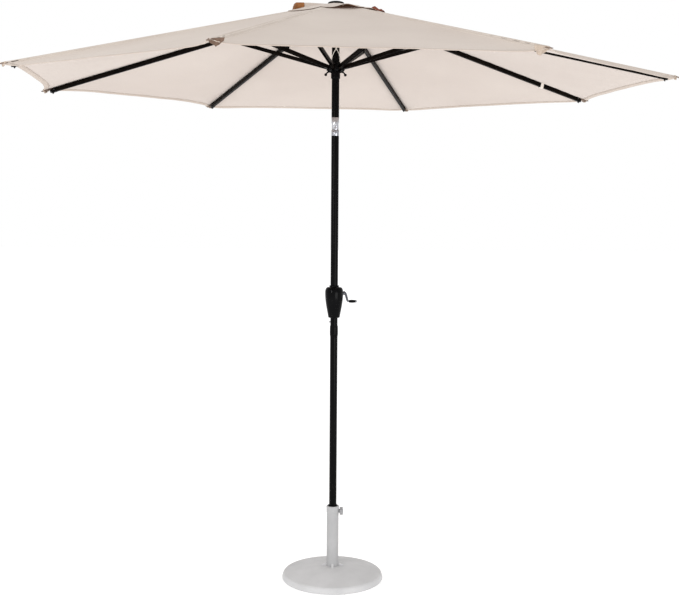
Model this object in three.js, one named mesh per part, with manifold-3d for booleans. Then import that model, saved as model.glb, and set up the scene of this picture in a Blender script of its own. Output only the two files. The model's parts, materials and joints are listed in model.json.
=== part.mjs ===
// Patio umbrella with base: crank-lift market umbrella, eight ribs, push-button tilt, weighted foot.
// Millimetres, +Z up. Origin: centre of the foot's underside, on the pole's axis. +X is the crank's side.
import * as THREE from "three";
import { mergeVertices } from "three/addons/utils/BufferGeometryUtils.js";
import Module from "manifold-3d";

const wasm = await Module();
wasm.setup();

// ---- driving dimensions -------------------------------------------------------------------------
const GAP = 0.3; // between pieces that touch

// ribs and stretchers
const RIB_COUNT = 8;
const FIRST_RIB_AZIMUTH = -106; // degrees from +X
const RIB_STEP = 360 / RIB_COUNT;
const RIB_DROOP = 13.6; // degrees below level when open
const RIB_LENGTH = 1337; // from the hub pivot; a webbing strap spans the rest, to the cloth's corner
const RIB_WIDTH = 13;
const RIB_HEIGHT = 19;
const RIB_WALL = 1.6;
const HUB_PIVOT_RADIUS = 30;
const HUB_PIVOT_Z = 2433;
const BRACKET_ALONG = 439.5; // stretcher pin along the rib
const BRACKET_DROP = 20; // stretcher pin below the rib's centreline
const PIN_RADIUS = 2.5;
const EYE_RADIUS = 2.9;
const STRETCHER_WIDTH = 12;
const STRETCHER_HEIGHT = 16;
const TONGUE_WIDTH = 6;

// canopy
const CANOPY_RADIUS = 1372; // to a corner
const VENT_RADIUS = 110;
const HEM_HOLLOW = 32; // how far the hem bows in between two corners
const HEM_SHAPE = 4; // how squarely it does so
const PANEL_SAG = 12;
const CLOTH = 0.9;
const SEAM_HALF_GAP = 0.4;
const CLOTH_CLEAR = 2.4; // cloth above the ribs, for its fall towards the middle of a panel
const VENT_CAP_RADIUS = 222;
const VENT_CAP_SLOPE = 0.2135;
const VENT_CAP_Z = 2448.2;
const VENT_CAP_THICK = 1.2;
const VENT_CAP_FLAT = 30; // radius of its level middle
const FINIAL_STUD_CLEAR = 6;

// poles
const POLE_RADIUS = 16;
const POLE_WALL = 1.4;
const LOWER_POLE_FOOT_Z = 64;
const SWAGE_BOTTOM_Z = 1062;
const SWAGE_TOP_Z = 1104;
const SWAGE_RADIUS = 17.5;
const NECK_RADIUS = 15.5;
const HOUSING_BOTTOM_Z = 1139;
const HOUSING_TOP_Z = 1274;
const CRANK_Z = 1244;
const TILT_BOTTOM_Z = 1906;
const TILT_Z = 1944;
const TILT_TOP_Z = 1982;
const SNAP_Z = 1120;

// foot
const FOOT_RADIUS = 218.5;
const FOOT_TUBE_RADIUS = 25.5;
const FOOT_TUBE_TOP_Z = 320;
const SLEEVE_RADIUS = 20;
const KNOB_Z = 297;

// ---- derived sizes ------------------------------------------------------------------------------
const rad = THREE.MathUtils.degToRad;
const droop = rad(RIB_DROOP);
const ribSlope = Math.tan(droop);
const link = Math.hypot(BRACKET_ALONG, BRACKET_DROP); // hub pivot to bracket pin, and a stretcher's length
const linkAngle = droop + Math.atan(BRACKET_DROP / BRACKET_ALONG);
const RUNNER_PIVOT_Z = HUB_PIVOT_Z - 2 * link * Math.sin(linkAngle);
const ribTopAbove = RIB_HEIGHT / 2 / Math.cos(droop);
const ribAzimuth = (i) => rad(FIRST_RIB_AZIMUTH + i * RIB_STEP);

// ---- materials ----------------------------------------------------------------------------------
const material = (color, roughness, metalness) =>
  new THREE.MeshStandardMaterial({ color, roughness, metalness });
const cloth = material("#d9ccc3", 0.9, 0);
const blackSteel = material("#0c0b0d", 0.35, 0.2);
const blackPlastic = material("#050505", 0.25, 0);
const chrome = material("#d8d8da", 0.12, 1);
const footResin = material("#c4c4c4", 0.7, 0);
const whiteCord = material("#e8e4de", 0.8, 0);

// ---- solid helpers ------------------------------------------------------------------------------
function solid(geometry, matrix = new THREE.Matrix4()) {
  const clean = new THREE.BufferGeometry();
  clean.setAttribute("position", geometry.getAttribute("position").clone());
  if (geometry.index) clean.setIndex(geometry.index.clone());
  clean.applyMatrix4(matrix);
  const merged = mergeVertices(clean, 1e-4);
  const mesh = new wasm.Mesh({
    numProp: 3,
    vertProperties: new Float32Array(merged.attributes.position.array),
    triVerts: new Uint32Array(merged.index.array),
  });
  return new wasm.Manifold(mesh);
}

const at = (x, y, z) => new THREE.Matrix4().makeTranslation(x, y, z);
const turned = (axis, angle) => new THREE.Matrix4().makeRotationAxis(axis, angle);
const X = new THREE.Vector3(1, 0, 0);
const Y = new THREE.Vector3(0, 1, 0);
const Z = new THREE.Vector3(0, 0, 1);

function box(x0, x1, y0, y1, z0, z1) {
  const geometry = new THREE.BoxGeometry(x1 - x0, y1 - y0, z1 - z0);
  return solid(geometry, at((x0 + x1) / 2, (y0 + y1) / 2, (z0 + z1) / 2));
}

// A cylinder from one point along a unit axis.
function rod(radius, length, start, axis, sides = 10) {
  const geometry = new THREE.CylinderGeometry(radius, radius, length, sides);
  geometry.translate(0, length / 2, 0);
  const turn = new THREE.Quaternion().setFromUnitVectors(Y, axis);
  return solid(geometry, new THREE.Matrix4().compose(start, turn, new THREE.Vector3(1, 1, 1)));
}

// A solid of revolution about +Z from (radius, z) points.
function revolved(profile, sides = 24) {
  const points = profile.map(([r, z]) => new THREE.Vector2(r, z));
  const geometry = new THREE.LatheGeometry(points, sides);
  return solid(geometry, turned(X, Math.PI / 2));
}

const disc = (radius, z0, z1, sides = 24) =>
  revolved([[0, z0], [radius, z0], [radius, z1], [0, z1]], sides);

const tube = (outer, inner, z0, z1, sides = 24) =>
  revolved([[inner, z0], [outer, z0], [outer, z1], [inner, z1], [inner, z0]], sides);

// An outline in the XZ plane, extruded along Y between y0 and y1.
function plate(outline, y0, y1) {
  const shape = new THREE.Shape(outline.map(([x, z]) => new THREE.Vector2(x, z)));
  const geometry = new THREE.ExtrudeGeometry(shape, { depth: y1 - y0, bevelEnabled: false });
  return solid(geometry, turned(X, Math.PI / 2).premultiply(at(0, y1, 0)));
}

// A round-ended bar outline from (x0, z0) to (x1, z1), half as thick as given.
function barOutline(x0, z0, x1, z1, half, steps = 4) {
  const along = Math.atan2(z1 - z0, x1 - x0);
  const points = [];
  for (const [x, z, start] of [[x1, z1, along - Math.PI / 2], [x0, z0, along + Math.PI / 2]])
    for (let i = 0; i <= steps; i++) {
      const a = start + (Math.PI * i) / steps;
      points.push([x + half * Math.cos(a), z + half * Math.sin(a)]);
    }
  return points;
}

// A round bar along a list of points.
function bent(points, radius, steps, sides = 8) {
  const path = new THREE.CatmullRomCurve3(points.map((p) => new THREE.Vector3(...p)));
  const corner = (_, i) => {
    const a = (2 * Math.PI * i) / sides;
    return new THREE.Vector2(radius * Math.cos(a), radius * Math.sin(a));
  };
  const section = new THREE.Shape(Array.from({ length: sides }, corner));
  return solid(new THREE.ExtrudeGeometry(section, { steps, extrudePath: path, bevelEnabled: false }));
}

const joined = (...solids) => solids.reduce((a, b) => a.add(b));
const cut = (from, ...tools) => tools.reduce((a, b) => a.subtract(b), from);
const vec = (x, y, z) => new THREE.Vector3(x, y, z);

function toGeometry(manifold) {
  const mesh = manifold.getMesh();
  const geometry = new THREE.BufferGeometry();
  geometry.setAttribute("position", new THREE.BufferAttribute(new Float32Array(mesh.vertProperties), 3));
  geometry.setIndex(new THREE.BufferAttribute(new Uint32Array(mesh.triVerts), 1));
  geometry.computeVertexNormals();
  return geometry;
}

const umbrella = new THREE.Group();

function add(name, manifold, look, parent = umbrella) {
  const mesh = new THREE.Mesh(toGeometry(manifold), look);
  mesh.name = name;
  parent.add(mesh);
  return mesh;
}

// A group turned about the pole, for pieces made with their rib along +X.
function spoke(azimuth) {
  const group = new THREE.Group();
  group.rotation.z = azimuth;
  umbrella.add(group);
  return group;
}

// ---- weighted foot ------------------------------------------------------------------------------
const FOOT_RIM_Z = 28;
const FOOT_HUB_Z = 56;
const FOOT_BORE = 26;
const DOME_INNER = 34;
const DOME_OUTER = 208;
const GUSSET_REACH = 70;
const GUSSET_HEIGHT = 22;
const GUSSET_HALF = 5;
const FOOT_TUBE_BORE = 23.5;
const FOOT_TUBE_LOW_Z = 2;
const COLLAR_SEAT_Z = 306;
const COLLAR_LOW_Z = 292;
const COLLAR_RADIUS = 27;
const KNOB_HOLE = 4.6;

// Four low triangular gussets brace the tube on the dome, in front, behind and at both sides.
function gusset(turn) {
  const low = FOOT_HUB_Z - 8;
  const start = FOOT_BORE + 1;
  const high = FOOT_HUB_Z + GUSSET_HEIGHT - 3;
  const outline = [[start, low], [GUSSET_REACH, low], [44, FOOT_HUB_Z + 3], [start, high]];
  return plate(outline, -GUSSET_HALF, GUSSET_HALF).rotate([0, 0, turn]);
}

function footPlate() {
  const rise = FOOT_HUB_Z - FOOT_RIM_Z;
  const span = DOME_OUTER - DOME_INNER;
  const steps = 4;
  const dome = [];
  for (let i = 0; i <= steps; i++) {
    const share = i / steps;
    dome.push([DOME_OUTER - span * share, FOOT_RIM_Z + rise * Math.sin((Math.PI / 2) * share) ** 1.4]);
  }
  const rim = [[FOOT_RADIUS - 4, 0], [FOOT_RADIUS, 5], [DOME_OUTER + 4, 24]];
  const body = revolved([[FOOT_BORE, 0], ...rim, ...dome, [FOOT_BORE, FOOT_HUB_Z], [FOOT_BORE, 0]], 36);
  return joined(body, ...[0, 90, 180, 270].map(gusset));
}

const footTube = cut(
  tube(FOOT_TUBE_RADIUS, FOOT_TUBE_BORE, FOOT_TUBE_LOW_Z, COLLAR_SEAT_Z, 24),
  rod(KNOB_HOLE, 12, vec(18, 0, KNOB_Z), X),
);
const collarInner = FOOT_TUBE_RADIUS + GAP;
const collarMouth = SLEEVE_RADIUS + 0.6;
const collarTopZ = FOOT_TUBE_TOP_Z + 0.5;
const footCollar = cut(
  revolved(
    [
      [collarInner, COLLAR_LOW_Z], [COLLAR_RADIUS, COLLAR_LOW_Z + 2], [COLLAR_RADIUS, FOOT_TUBE_TOP_Z - 2],
      [COLLAR_RADIUS - 2, collarTopZ], [collarMouth, collarTopZ], [collarMouth, COLLAR_SEAT_Z + GAP],
      [collarInner, COLLAR_SEAT_Z + GAP], [collarInner, COLLAR_LOW_Z],
    ],
    24,
  ),
  rod(9.4, 12, vec(20, 0, KNOB_Z), X),
);
add("foot_plate", footPlate(), footResin);
add("foot_tube", footTube, footResin);
add("foot_collar", footCollar, footResin);

// A threaded insert welded to the tube, and the lobed knob whose bolt presses on the sleeve.
const NUT_START_X = 25.9;
const NUT_LENGTH = 3.4;
const KNOB_START_X = 30.2;
const KNOB_LENGTH = 13.6;
const KNOB_LOBES = 6;
const KNOB_RADIUS = 15.5;
const LOBE_HEIGHT = 1.5;
const BOLT_RADIUS = 4;
const BOLT_START_X = 20.6;
const knobNut = cut(
  rod(9, NUT_LENGTH, vec(NUT_START_X, 0, KNOB_Z), X, 6),
  rod(KNOB_HOLE, 20, vec(18, 0, KNOB_Z), X),
);
add("knob_nut", knobNut, blackSteel);

function knobHead() {
  const outline = [];
  const points = KNOB_LOBES * 4;
  for (let i = 0; i < points; i++) {
    const a = (2 * Math.PI * i) / points;
    const r = KNOB_RADIUS + LOBE_HEIGHT * Math.cos(KNOB_LOBES * a);
    outline.push(new THREE.Vector2(r * Math.cos(a), r * Math.sin(a)));
  }
  const options = { depth: KNOB_LENGTH, bevelEnabled: false };
  const geometry = new THREE.ExtrudeGeometry(new THREE.Shape(outline), options);
  const head = solid(geometry, turned(Y, Math.PI / 2).premultiply(at(KNOB_START_X, 0, KNOB_Z)));
  return cut(head, rod(BOLT_RADIUS + GAP, 8.5, vec(KNOB_START_X - 0.5, 0, KNOB_Z), X));
}
add("base_knob", knobHead(), footResin);
add("knob_bolt", rod(BOLT_RADIUS, 17, vec(BOLT_START_X, 0, KNOB_Z), X), chrome);

// Reducer sleeve between the foot's tube and the pole.
const SLEEVE_BORE = POLE_RADIUS + 0.4;
const SLEEVE_LOW_Z = 60;
const SLEEVE_RIM_Z = collarTopZ + 0.9;
const SLEEVE_TOP_Z = 325;
const sleeve = revolved(
  [
    [SLEEVE_BORE, SLEEVE_LOW_Z], [SLEEVE_RADIUS, SLEEVE_LOW_Z], [SLEEVE_RADIUS, SLEEVE_RIM_Z],
    [collarMouth, SLEEVE_RIM_Z], [SLEEVE_RADIUS, SLEEVE_TOP_Z - 1], [18.6, SLEEVE_TOP_Z],
    [SLEEVE_BORE, SLEEVE_TOP_Z], [SLEEVE_BORE, SLEEVE_LOW_Z],
  ],
  24,
);
add("reducer_sleeve", sleeve, blackPlastic);

// ---- poles --------------------------------------------------------------------------------------
const inner = POLE_RADIUS - POLE_WALL;
const SWAGE_RAMP = 8;
const swageBore = NECK_RADIUS + 0.4;
const lowerPole = revolved(
  [
    [inner, LOWER_POLE_FOOT_Z], [POLE_RADIUS, LOWER_POLE_FOOT_Z],
    [POLE_RADIUS, SWAGE_BOTTOM_Z - SWAGE_RAMP],
    [SWAGE_RADIUS, SWAGE_BOTTOM_Z + SWAGE_RAMP], [SWAGE_RADIUS, SWAGE_TOP_Z - 12],
    [swageBore + 0.8, SWAGE_TOP_Z], [swageBore, SWAGE_TOP_Z], [swageBore, SWAGE_BOTTOM_Z],
    [inner, SWAGE_BOTTOM_Z - SWAGE_RAMP], [inner, LOWER_POLE_FOOT_Z],
  ],
  24,
);
add("lower_pole", lowerPole, blackSteel);
const PLUG_HEAD = 3.2;
const PLUG_LENGTH = 23.5;
const plugLowZ = LOWER_POLE_FOOT_Z - GAP - PLUG_HEAD;
const plugHeadZ = plugLowZ + PLUG_HEAD;
const footPlug = joined(
  disc(POLE_RADIUS - 0.2, plugLowZ, plugHeadZ),
  disc(inner - GAP, plugLowZ, plugLowZ + PLUG_LENGTH),
);
add("pole_foot_plug", footPlug, blackPlastic);

// The neck is the reduced end of the upper section: it carries the housing and plugs into the lower pole.
const SPIGOT_RADIUS = 14.2;
const SPIGOT_BOTTOM_Z = 1000;
const SPIGOT_TOP_Z = 1050;
const NECK_BOTTOM_Z = 1064;
const NECK_TOP_Z = 1166;
const NECK_WALL = 1.5;
const SPIGOT_WALL = 1.3;
const BUTTON_RADIUS = 4.2;
const MINUS_X = vec(-1, 0, 0);
const neck = cut(
  revolved(
    [
      [SPIGOT_RADIUS - SPIGOT_WALL, SPIGOT_BOTTOM_Z], [SPIGOT_RADIUS, SPIGOT_BOTTOM_Z],
      [SPIGOT_RADIUS, SPIGOT_TOP_Z], [NECK_RADIUS, NECK_BOTTOM_Z], [NECK_RADIUS, NECK_TOP_Z],
      [NECK_RADIUS - NECK_WALL, NECK_TOP_Z], [NECK_RADIUS - NECK_WALL, NECK_BOTTOM_Z + 2],
      [SPIGOT_RADIUS - SPIGOT_WALL, SPIGOT_TOP_Z + 2], [SPIGOT_RADIUS - SPIGOT_WALL, SPIGOT_BOTTOM_Z],
    ],
    24,
  ),
  rod(BUTTON_RADIUS + GAP, 12, vec(-8, 0, SNAP_Z), MINUS_X),
);
add("pole_neck", neck, blackSteel);

// The button stands on a flange inside the neck.
const snapButton = joined(
  rod(BUTTON_RADIUS, 9, vec(-11, 0, SNAP_Z), MINUS_X),
  rod(BUTTON_RADIUS + 1.6, 2.4, vec(-9.6, 0, SNAP_Z), MINUS_X),
);
add("snap_button", snapButton, chrome);

const upperPole = tube(POLE_RADIUS, inner, 1262, TILT_BOTTOM_Z - GAP, 24);
add("upper_pole", upperPole, blackSteel);

// ---- crank housing: two half shells, closed round the neck below and round the pole above --------
const SHAFT_RADIUS = 5;
const SCREW_Z = 1188;
const SCREW_RADIUS = 1.8;
const SCREW_HEAD_RADIUS = 3.1;
const HOUSING_FLOOR_Z = 1168;
const neckBore = NECK_RADIUS + GAP;
const poleBore = POLE_RADIUS + 0.4;
const housingProfile = [
  // outside, upwards
  [neckBore, HOUSING_BOTTOM_Z], [24.5, HOUSING_BOTTOM_Z], [35, 1208], [38.5, CRANK_Z], [37.5, 1258],
  [31, 1269], [20, HOUSING_TOP_Z], [poleBore, HOUSING_TOP_Z],
  // the ledge that the pole's end stands on
  [poleBore, 1260], [14.5, 1260], [14.5, 1257],
  // inside, downwards
  [29, 1257], [35, 1242], [31, 1208], [22, HOUSING_FLOOR_Z], [neckBore, HOUSING_FLOOR_Z],
  [neckBore, HOUSING_BOTTOM_Z],
];
function housingHalf(side) {
  const outward = Y.clone().multiplyScalar(side);
  const post = cut(
    rod(5, 30, vec(0, 0, SCREW_Z), Y, 8),
    rod(SCREW_RADIUS + 0.2, 40, vec(0, 0, SCREW_Z), Y, 10),
  );
  const bored = cut(
    joined(revolved(housingProfile, 24), side < 0 ? post.mirror([0, 1, 0]) : post),
    rod(SHAFT_RADIUS + 0.5, 60, vec(0, 0, CRANK_Z), X),
    rod(SCREW_HEAD_RADIUS + GAP, 20, vec(0, 24 * side, SCREW_Z), outward, 12),
  );
  const [near, far] = [GAP / 2, 60].map((y) => y * side).sort((a, b) => a - b);
  return bored.intersect(box(-60, 60, near, far, HOUSING_BOTTOM_Z - 10, HOUSING_TOP_Z + 10));
}
add("housing_front", housingHalf(-1), blackPlastic);
add("housing_rear", housingHalf(1), blackPlastic);
const screw = joined(
  rod(SCREW_RADIUS, 33, vec(0, -26, SCREW_Z), Y, 10),
  rod(SCREW_HEAD_RADIUS, 2, vec(0, -26.8, SCREW_Z), Y, 8),
);
add("housing_screw", screw, chrome);

// Spool with two flanges on the crank's shaft.
const SPOOL_CORE = 11.1;
const SPOOL_FLANGE = 12.5;
const spool = cut(
  joined(
    rod(SPOOL_CORE, 30, vec(-15, 0, CRANK_Z), X, 14),
    rod(SPOOL_FLANGE, 3, vec(-18, 0, CRANK_Z), X, 24),
    rod(SPOOL_FLANGE, 3, vec(15, 0, CRANK_Z), X, 24),
  ),
  rod(SHAFT_RADIUS + GAP, 60, vec(-30, 0, CRANK_Z), X, 10),
);
add("cord_spool", spool, blackPlastic);
add("crank_shaft", rod(SHAFT_RADIUS, 60, vec(-19, 0, CRANK_Z), X, 10), chrome);

const ARM_X = 46;
const GRIP_START_X = 62;
const GRIP_BORE = 3.5;
const GRIP_Z = 1209;
const GRIP_PIN_RADIUS = 3;
const armRoute = [
  [ARM_X - 2, 0, CRANK_Z], [50, 0, 1236], [55, 0, 1219], [58, 0, 1211], [GRIP_START_X, 0, GRIP_Z],
];
const crankArm = joined(
  cut(rod(8, 9, vec(38.9, 0, CRANK_Z), X, 14), rod(SHAFT_RADIUS + GAP, 2.6, vec(38.5, 0, CRANK_Z), X, 10)),
  bent(armRoute, 3.4, 7),
  rod(GRIP_PIN_RADIUS, 34, vec(GRIP_START_X - 1, 0, GRIP_Z), X, 12),
);
add("crank_arm", crankArm, chrome);

const gripProfile = [[GRIP_BORE, 0], [5.6, 0], [6.6, 4], [6.2, 14], [6.6, 22], [5.4, 28], [GRIP_BORE, 28]];
const grip = revolved([...gripProfile, gripProfile[0]], 12)
  .rotate([0, 90, 0])
  .translate([GRIP_START_X + 1.4, 0, GRIP_Z]);
add("crank_grip", grip, blackPlastic);
const gripEndX = GRIP_START_X + 1.4 + 28;
const gripCap = cut(
  rod(5.4, 5, vec(gripEndX + 0.4, 0, GRIP_Z), X, 10),
  rod(GRIP_PIN_RADIUS + 0.4, 4, vec(gripEndX, 0, GRIP_Z), X, 10),
);
add("grip_cap", gripCap, chrome);

// ---- tilt joint ---------------------------------------------------------------------------------
const LUG_INNER = 3;
const LUG_OUTER = 8;
const EAR_INNER = LUG_OUTER + GAP;
const TURN_RADIUS = 13.6;
const TURN_CLEAR = 14.4;
const CORD_BORE = 3.4;
const SPIGOT_DEPTH = 30; // of each casting, inside its pole
const TILT_PIN_RADIUS = 4;
const TILT_PIN_LENGTH = 10.2;
const TILT_PIN_STARTS = { front: -13.6, rear: 3.4 };
const TILT_BUTTON_Z = TILT_TOP_Z - 12;
const pinBore = TILT_PIN_RADIUS + GAP;
const cordBore = rod(CORD_BORE, 200, vec(0, 0, TILT_Z - 94), Z, 12);

// Round-ended lug about the tilt axis: a disc plus a block running to the casting's body.
function lug(y0, y1, direction) {
  const round = rod(TURN_RADIUS, y1 - y0, vec(0, y0, TILT_Z), Y, 20);
  const reach = [TILT_Z, TILT_Z + direction * 20].sort((a, b) => a - b);
  return joined(round, box(-TURN_RADIUS, TURN_RADIUS, y0, y1, reach[0], reach[1]));
}

function tiltLower() {
  const body = joined(
    disc(POLE_RADIUS, TILT_BOTTOM_Z, TILT_Z - TURN_CLEAR, 24),
    disc(inner - GAP, TILT_BOTTOM_Z - SPIGOT_DEPTH, TILT_BOTTOM_Z, 24),
  );
  const lugs = joined(lug(-LUG_OUTER, -LUG_INNER, -1), lug(LUG_INNER, LUG_OUTER, -1));
  return cut(joined(body, lugs), cordBore, rod(pinBore, 20, vec(0, -10, TILT_Z), Y, 14));
}

function tiltUpper() {
  const body = joined(
    disc(POLE_RADIUS, TILT_Z + TURN_CLEAR, TILT_TOP_Z, 24),
    disc(inner - GAP, TILT_TOP_Z, TILT_TOP_Z + SPIGOT_DEPTH, 24),
  );
  const round = disc(POLE_RADIUS, TILT_Z - 20, TILT_Z + 20, 24);
  const ears = joined(lug(-POLE_RADIUS, -EAR_INNER, 1), lug(EAR_INNER, POLE_RADIUS, 1)).intersect(round);
  return cut(
    joined(body, ears),
    cordBore,
    rod(pinBore, 40, vec(0, -20, TILT_Z), Y, 14),
    rod(BUTTON_RADIUS + 0.4, 20, vec(4, 0, TILT_BUTTON_Z), X, 14),
  );
}
add("tilt_lower_casting", tiltLower(), chrome);
add("tilt_upper_casting", tiltUpper(), chrome);
for (const [side, y0] of Object.entries(TILT_PIN_STARTS))
  add(`tilt_pin_${side}`, rod(TILT_PIN_RADIUS, TILT_PIN_LENGTH, vec(0, y0, TILT_Z), Y, 14), chrome);
add("tilt_button", rod(BUTTON_RADIUS, 7.8, vec(8, 0, TILT_BUTTON_Z), X, 14), chrome);

// ---- top pole, hub, pulley, finial --------------------------------------------------------------
const HUB_BOTTOM_Z = 2418;
const HUB_TOP_Z = 2444;
const HUB_RADIUS = 42;
const STUD_RADIUS = 5;
const STUD_TOP_Z = 2452;
const TOP_POLE_END_Z = 2438;
const CORD_AZIMUTH_DEG = -83.5; // half way between the first two ribs
const CORD_AZIMUTH = rad(CORD_AZIMUTH_DEG);
const PULLEY_Z = 2404;
const PULLEY_OFFSET = 8; // of its axle from the pole's axis
const PULLEY_RADIUS = 10.5;
const PULLEY_GROOVE = 8.6;
const PULLEY_HALF = 3;
const AXLE_RADIUS = 2.2;
const toCord = (r, z) => vec(r * Math.cos(CORD_AZIMUTH), r * Math.sin(CORD_AZIMUTH), z);
const cordSide = toCord(1, 0);
const pulleyAxis = vec(-Math.sin(CORD_AZIMUTH), Math.cos(CORD_AZIMUTH), 0);
const pulleyCentre = toCord(PULLEY_OFFSET, PULLEY_Z);

// A rod of this radius and half length across the pole, on the pulley's axis.
const axle = (radius, half) => {
  const start = pulleyAxis.clone().multiplyScalar(-half).add(pulleyCentre);
  return rod(radius, 2 * half, start, pulleyAxis, 12);
};

const slotHalf = PULLEY_HALF + 1.2;
const slotAlongX = box(-1, 22, -slotHalf, slotHalf, PULLEY_Z - 14, PULLEY_Z + 12);
const pulleySlot = slotAlongX.rotate([0, 0, CORD_AZIMUTH_DEG]);
const topTube = tube(POLE_RADIUS, inner, TILT_TOP_Z + GAP, TOP_POLE_END_Z, 24);
add("top_pole", cut(topTube, pulleySlot, axle(AXLE_RADIUS + 0.4, 30)), blackSteel);

const pulleyFrame = new THREE.Matrix4()
  .makeBasis(cordSide, Z, pulleyAxis.clone().negate())
  .setPosition(pulleyCentre);
const pulleyBore = AXLE_RADIUS + 0.4;
const pulleyProfile = [
  [pulleyBore, -PULLEY_HALF], [PULLEY_RADIUS, -PULLEY_HALF], [PULLEY_RADIUS, -2.3], [PULLEY_GROOVE, -1.9],
  [PULLEY_GROOVE, 1.9], [PULLEY_RADIUS, 2.3], [PULLEY_RADIUS, PULLEY_HALF], [pulleyBore, PULLEY_HALF],
];
const pulley = revolved([...pulleyProfile, pulleyProfile[0]], 16).transform(pulleyFrame.toArray());
add("pulley", pulley, blackPlastic);
add("pulley_pin", axle(AXLE_RADIUS, 13.5), chrome);

function hub() {
  const bore = POLE_RADIUS + GAP;
  const ceiling = TOP_POLE_END_Z + GAP;
  const crown = revolved(
    [
      [0, ceiling], [bore, ceiling], [bore, HUB_BOTTOM_Z], [HUB_RADIUS, HUB_BOTTOM_Z],
      [HUB_RADIUS, HUB_TOP_Z - 3], [HUB_RADIUS - 3, HUB_TOP_Z], [0, HUB_TOP_Z],
    ],
    24,
  );
  let result = joined(crown, disc(STUD_RADIUS, HUB_TOP_Z - 1, STUD_TOP_Z, 10));
  const slot = box(20.5, 60, -TONGUE_WIDTH / 2 - 0.6, TONGUE_WIDTH / 2 + 0.6, 2400, HUB_PIVOT_Z + 7);
  for (let i = 0; i < RIB_COUNT; i++) {
    const turn = [0, 0, FIRST_RIB_AZIMUTH + i * RIB_STEP];
    const pin = rod(PIN_RADIUS, 12, vec(HUB_PIVOT_RADIUS, -6, HUB_PIVOT_Z), Y, 8);
    result = result.subtract(slot.rotate(turn)).add(pin.rotate(turn));
  }
  return result;
}
add("hub", hub(), blackPlastic);

const FINIAL_RADIUS = 34;
const FINIAL_LOW_Z = 2450;
const FINIAL_RISE = 9;
function finial() {
  const dome = [];
  const steps = 3;
  for (let i = 0; i < steps; i++) {
    const a = (Math.PI / 2) * (i / steps);
    dome.push([FINIAL_RADIUS * Math.cos(a), FINIAL_LOW_Z + 2 + FINIAL_RISE * Math.sin(a)]);
  }
  const socket = STUD_RADIUS + GAP;
  const socketZ = STUD_TOP_Z + 3;
  const topZ = FINIAL_LOW_Z + 2 + FINIAL_RISE;
  return revolved(
    [
      [0, socketZ], [socket, socketZ], [socket, FINIAL_LOW_Z], [FINIAL_RADIUS - 1, FINIAL_LOW_Z],
      ...dome, [0, topZ],
    ],
    24,
  );
}
add("finial", finial(), blackPlastic);

// ---- ribs ---------------------------------------------------------------------------------------
const RIB_BODY_START = 25; // where the tongue ends and the tube begins
function rib() {
  const [w, h] = [RIB_WIDTH / 2, RIB_HEIGHT / 2];
  const open = box(RIB_BODY_START, RIB_LENGTH, -w, w, -h, h);
  const hollow = box(60, RIB_LENGTH + 1, RIB_WALL - w, w - RIB_WALL, RIB_WALL - h, h - RIB_WALL);
  const tongue = plate(barOutline(0, 0, 30, 0, 6), -TONGUE_WIDTH / 2, TONGUE_WIDTH / 2);
  const cheek = barOutline(BRACKET_ALONG, -BRACKET_DROP, BRACKET_ALONG, -6, 8);
  const inside = STRETCHER_WIDTH / 2 + 0.4;
  const outside = inside + 2;
  const cheeks = joined(
    plate(cheek, inside, outside),
    plate(cheek, -outside, -inside),
    box(BRACKET_ALONG - 8, BRACKET_ALONG + 8, -outside, outside, -h, 1.5 - h),
  );
  const pin = rod(PIN_RADIUS, 16, vec(BRACKET_ALONG, -8, -BRACKET_DROP), Y, 8);
  const eye = rod(EYE_RADIUS, 20, vec(0, -10, 0), Y, 8);
  return cut(joined(cut(joined(open, tongue), hollow), cheeks, pin), eye);
}

// ---- stretchers: made from the bracket pin at the origin to the runner end along +X ---------------
function stretcher() {
  const [w, h] = [STRETCHER_WIDTH / 2, STRETCHER_HEIGHT / 2];
  const bar = plate(barOutline(0, 0, link, 0, h), -w, w);
  const channel = box(14, link - 14, RIB_WALL - w, w - RIB_WALL, -20, h - RIB_WALL);
  return cut(bar, channel, rod(EYE_RADIUS, 20, vec(0, -10, 0), Y, 8));
}

const ribSolid = rib();
const stretcherSolid = stretcher();
const pinRadius = HUB_PIVOT_RADIUS + link * Math.cos(linkAngle);
const pinZ = HUB_PIVOT_Z - link * Math.sin(linkAngle);
for (let i = 0; i < RIB_COUNT; i++) {
  const arm = spoke(ribAzimuth(i));
  const ribMesh = add(`rib_${i + 1}`, ribSolid, blackSteel, arm);
  ribMesh.position.set(HUB_PIVOT_RADIUS, 0, HUB_PIVOT_Z);
  ribMesh.rotation.y = droop;
  const stretcherMesh = add(`stretcher_${i + 1}`, stretcherSolid, blackSteel, arm);
  stretcherMesh.position.set(pinRadius, 0, pinZ);
  stretcherMesh.rotation.y = Math.PI - linkAngle;
}

// ---- runner -------------------------------------------------------------------------------------
const RUNNER_BORE = 16.9;
const BARREL_RADIUS = 19.2;
const FLANGE_RADIUS = 38;
const HOOK_AZIMUTHS = [6.5, 186.5];
const runnerLowZ = RUNNER_PIVOT_Z - 45;
const runnerTopZ = RUNNER_PIVOT_Z + 25;

// One of the two rope hooks, made along +X.
function runnerHook() {
  const route = [[18.4, 0, -18], [28, 0, -17], [36, 0, -22], [40.5, 0, -28]];
  const ball = solid(new THREE.SphereGeometry(6.2, 8, 6), at(41.2, 0, -29));
  return joined(bent(route, 3.2, 5), ball).translate([0, 0, RUNNER_PIVOT_Z]);
}

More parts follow.
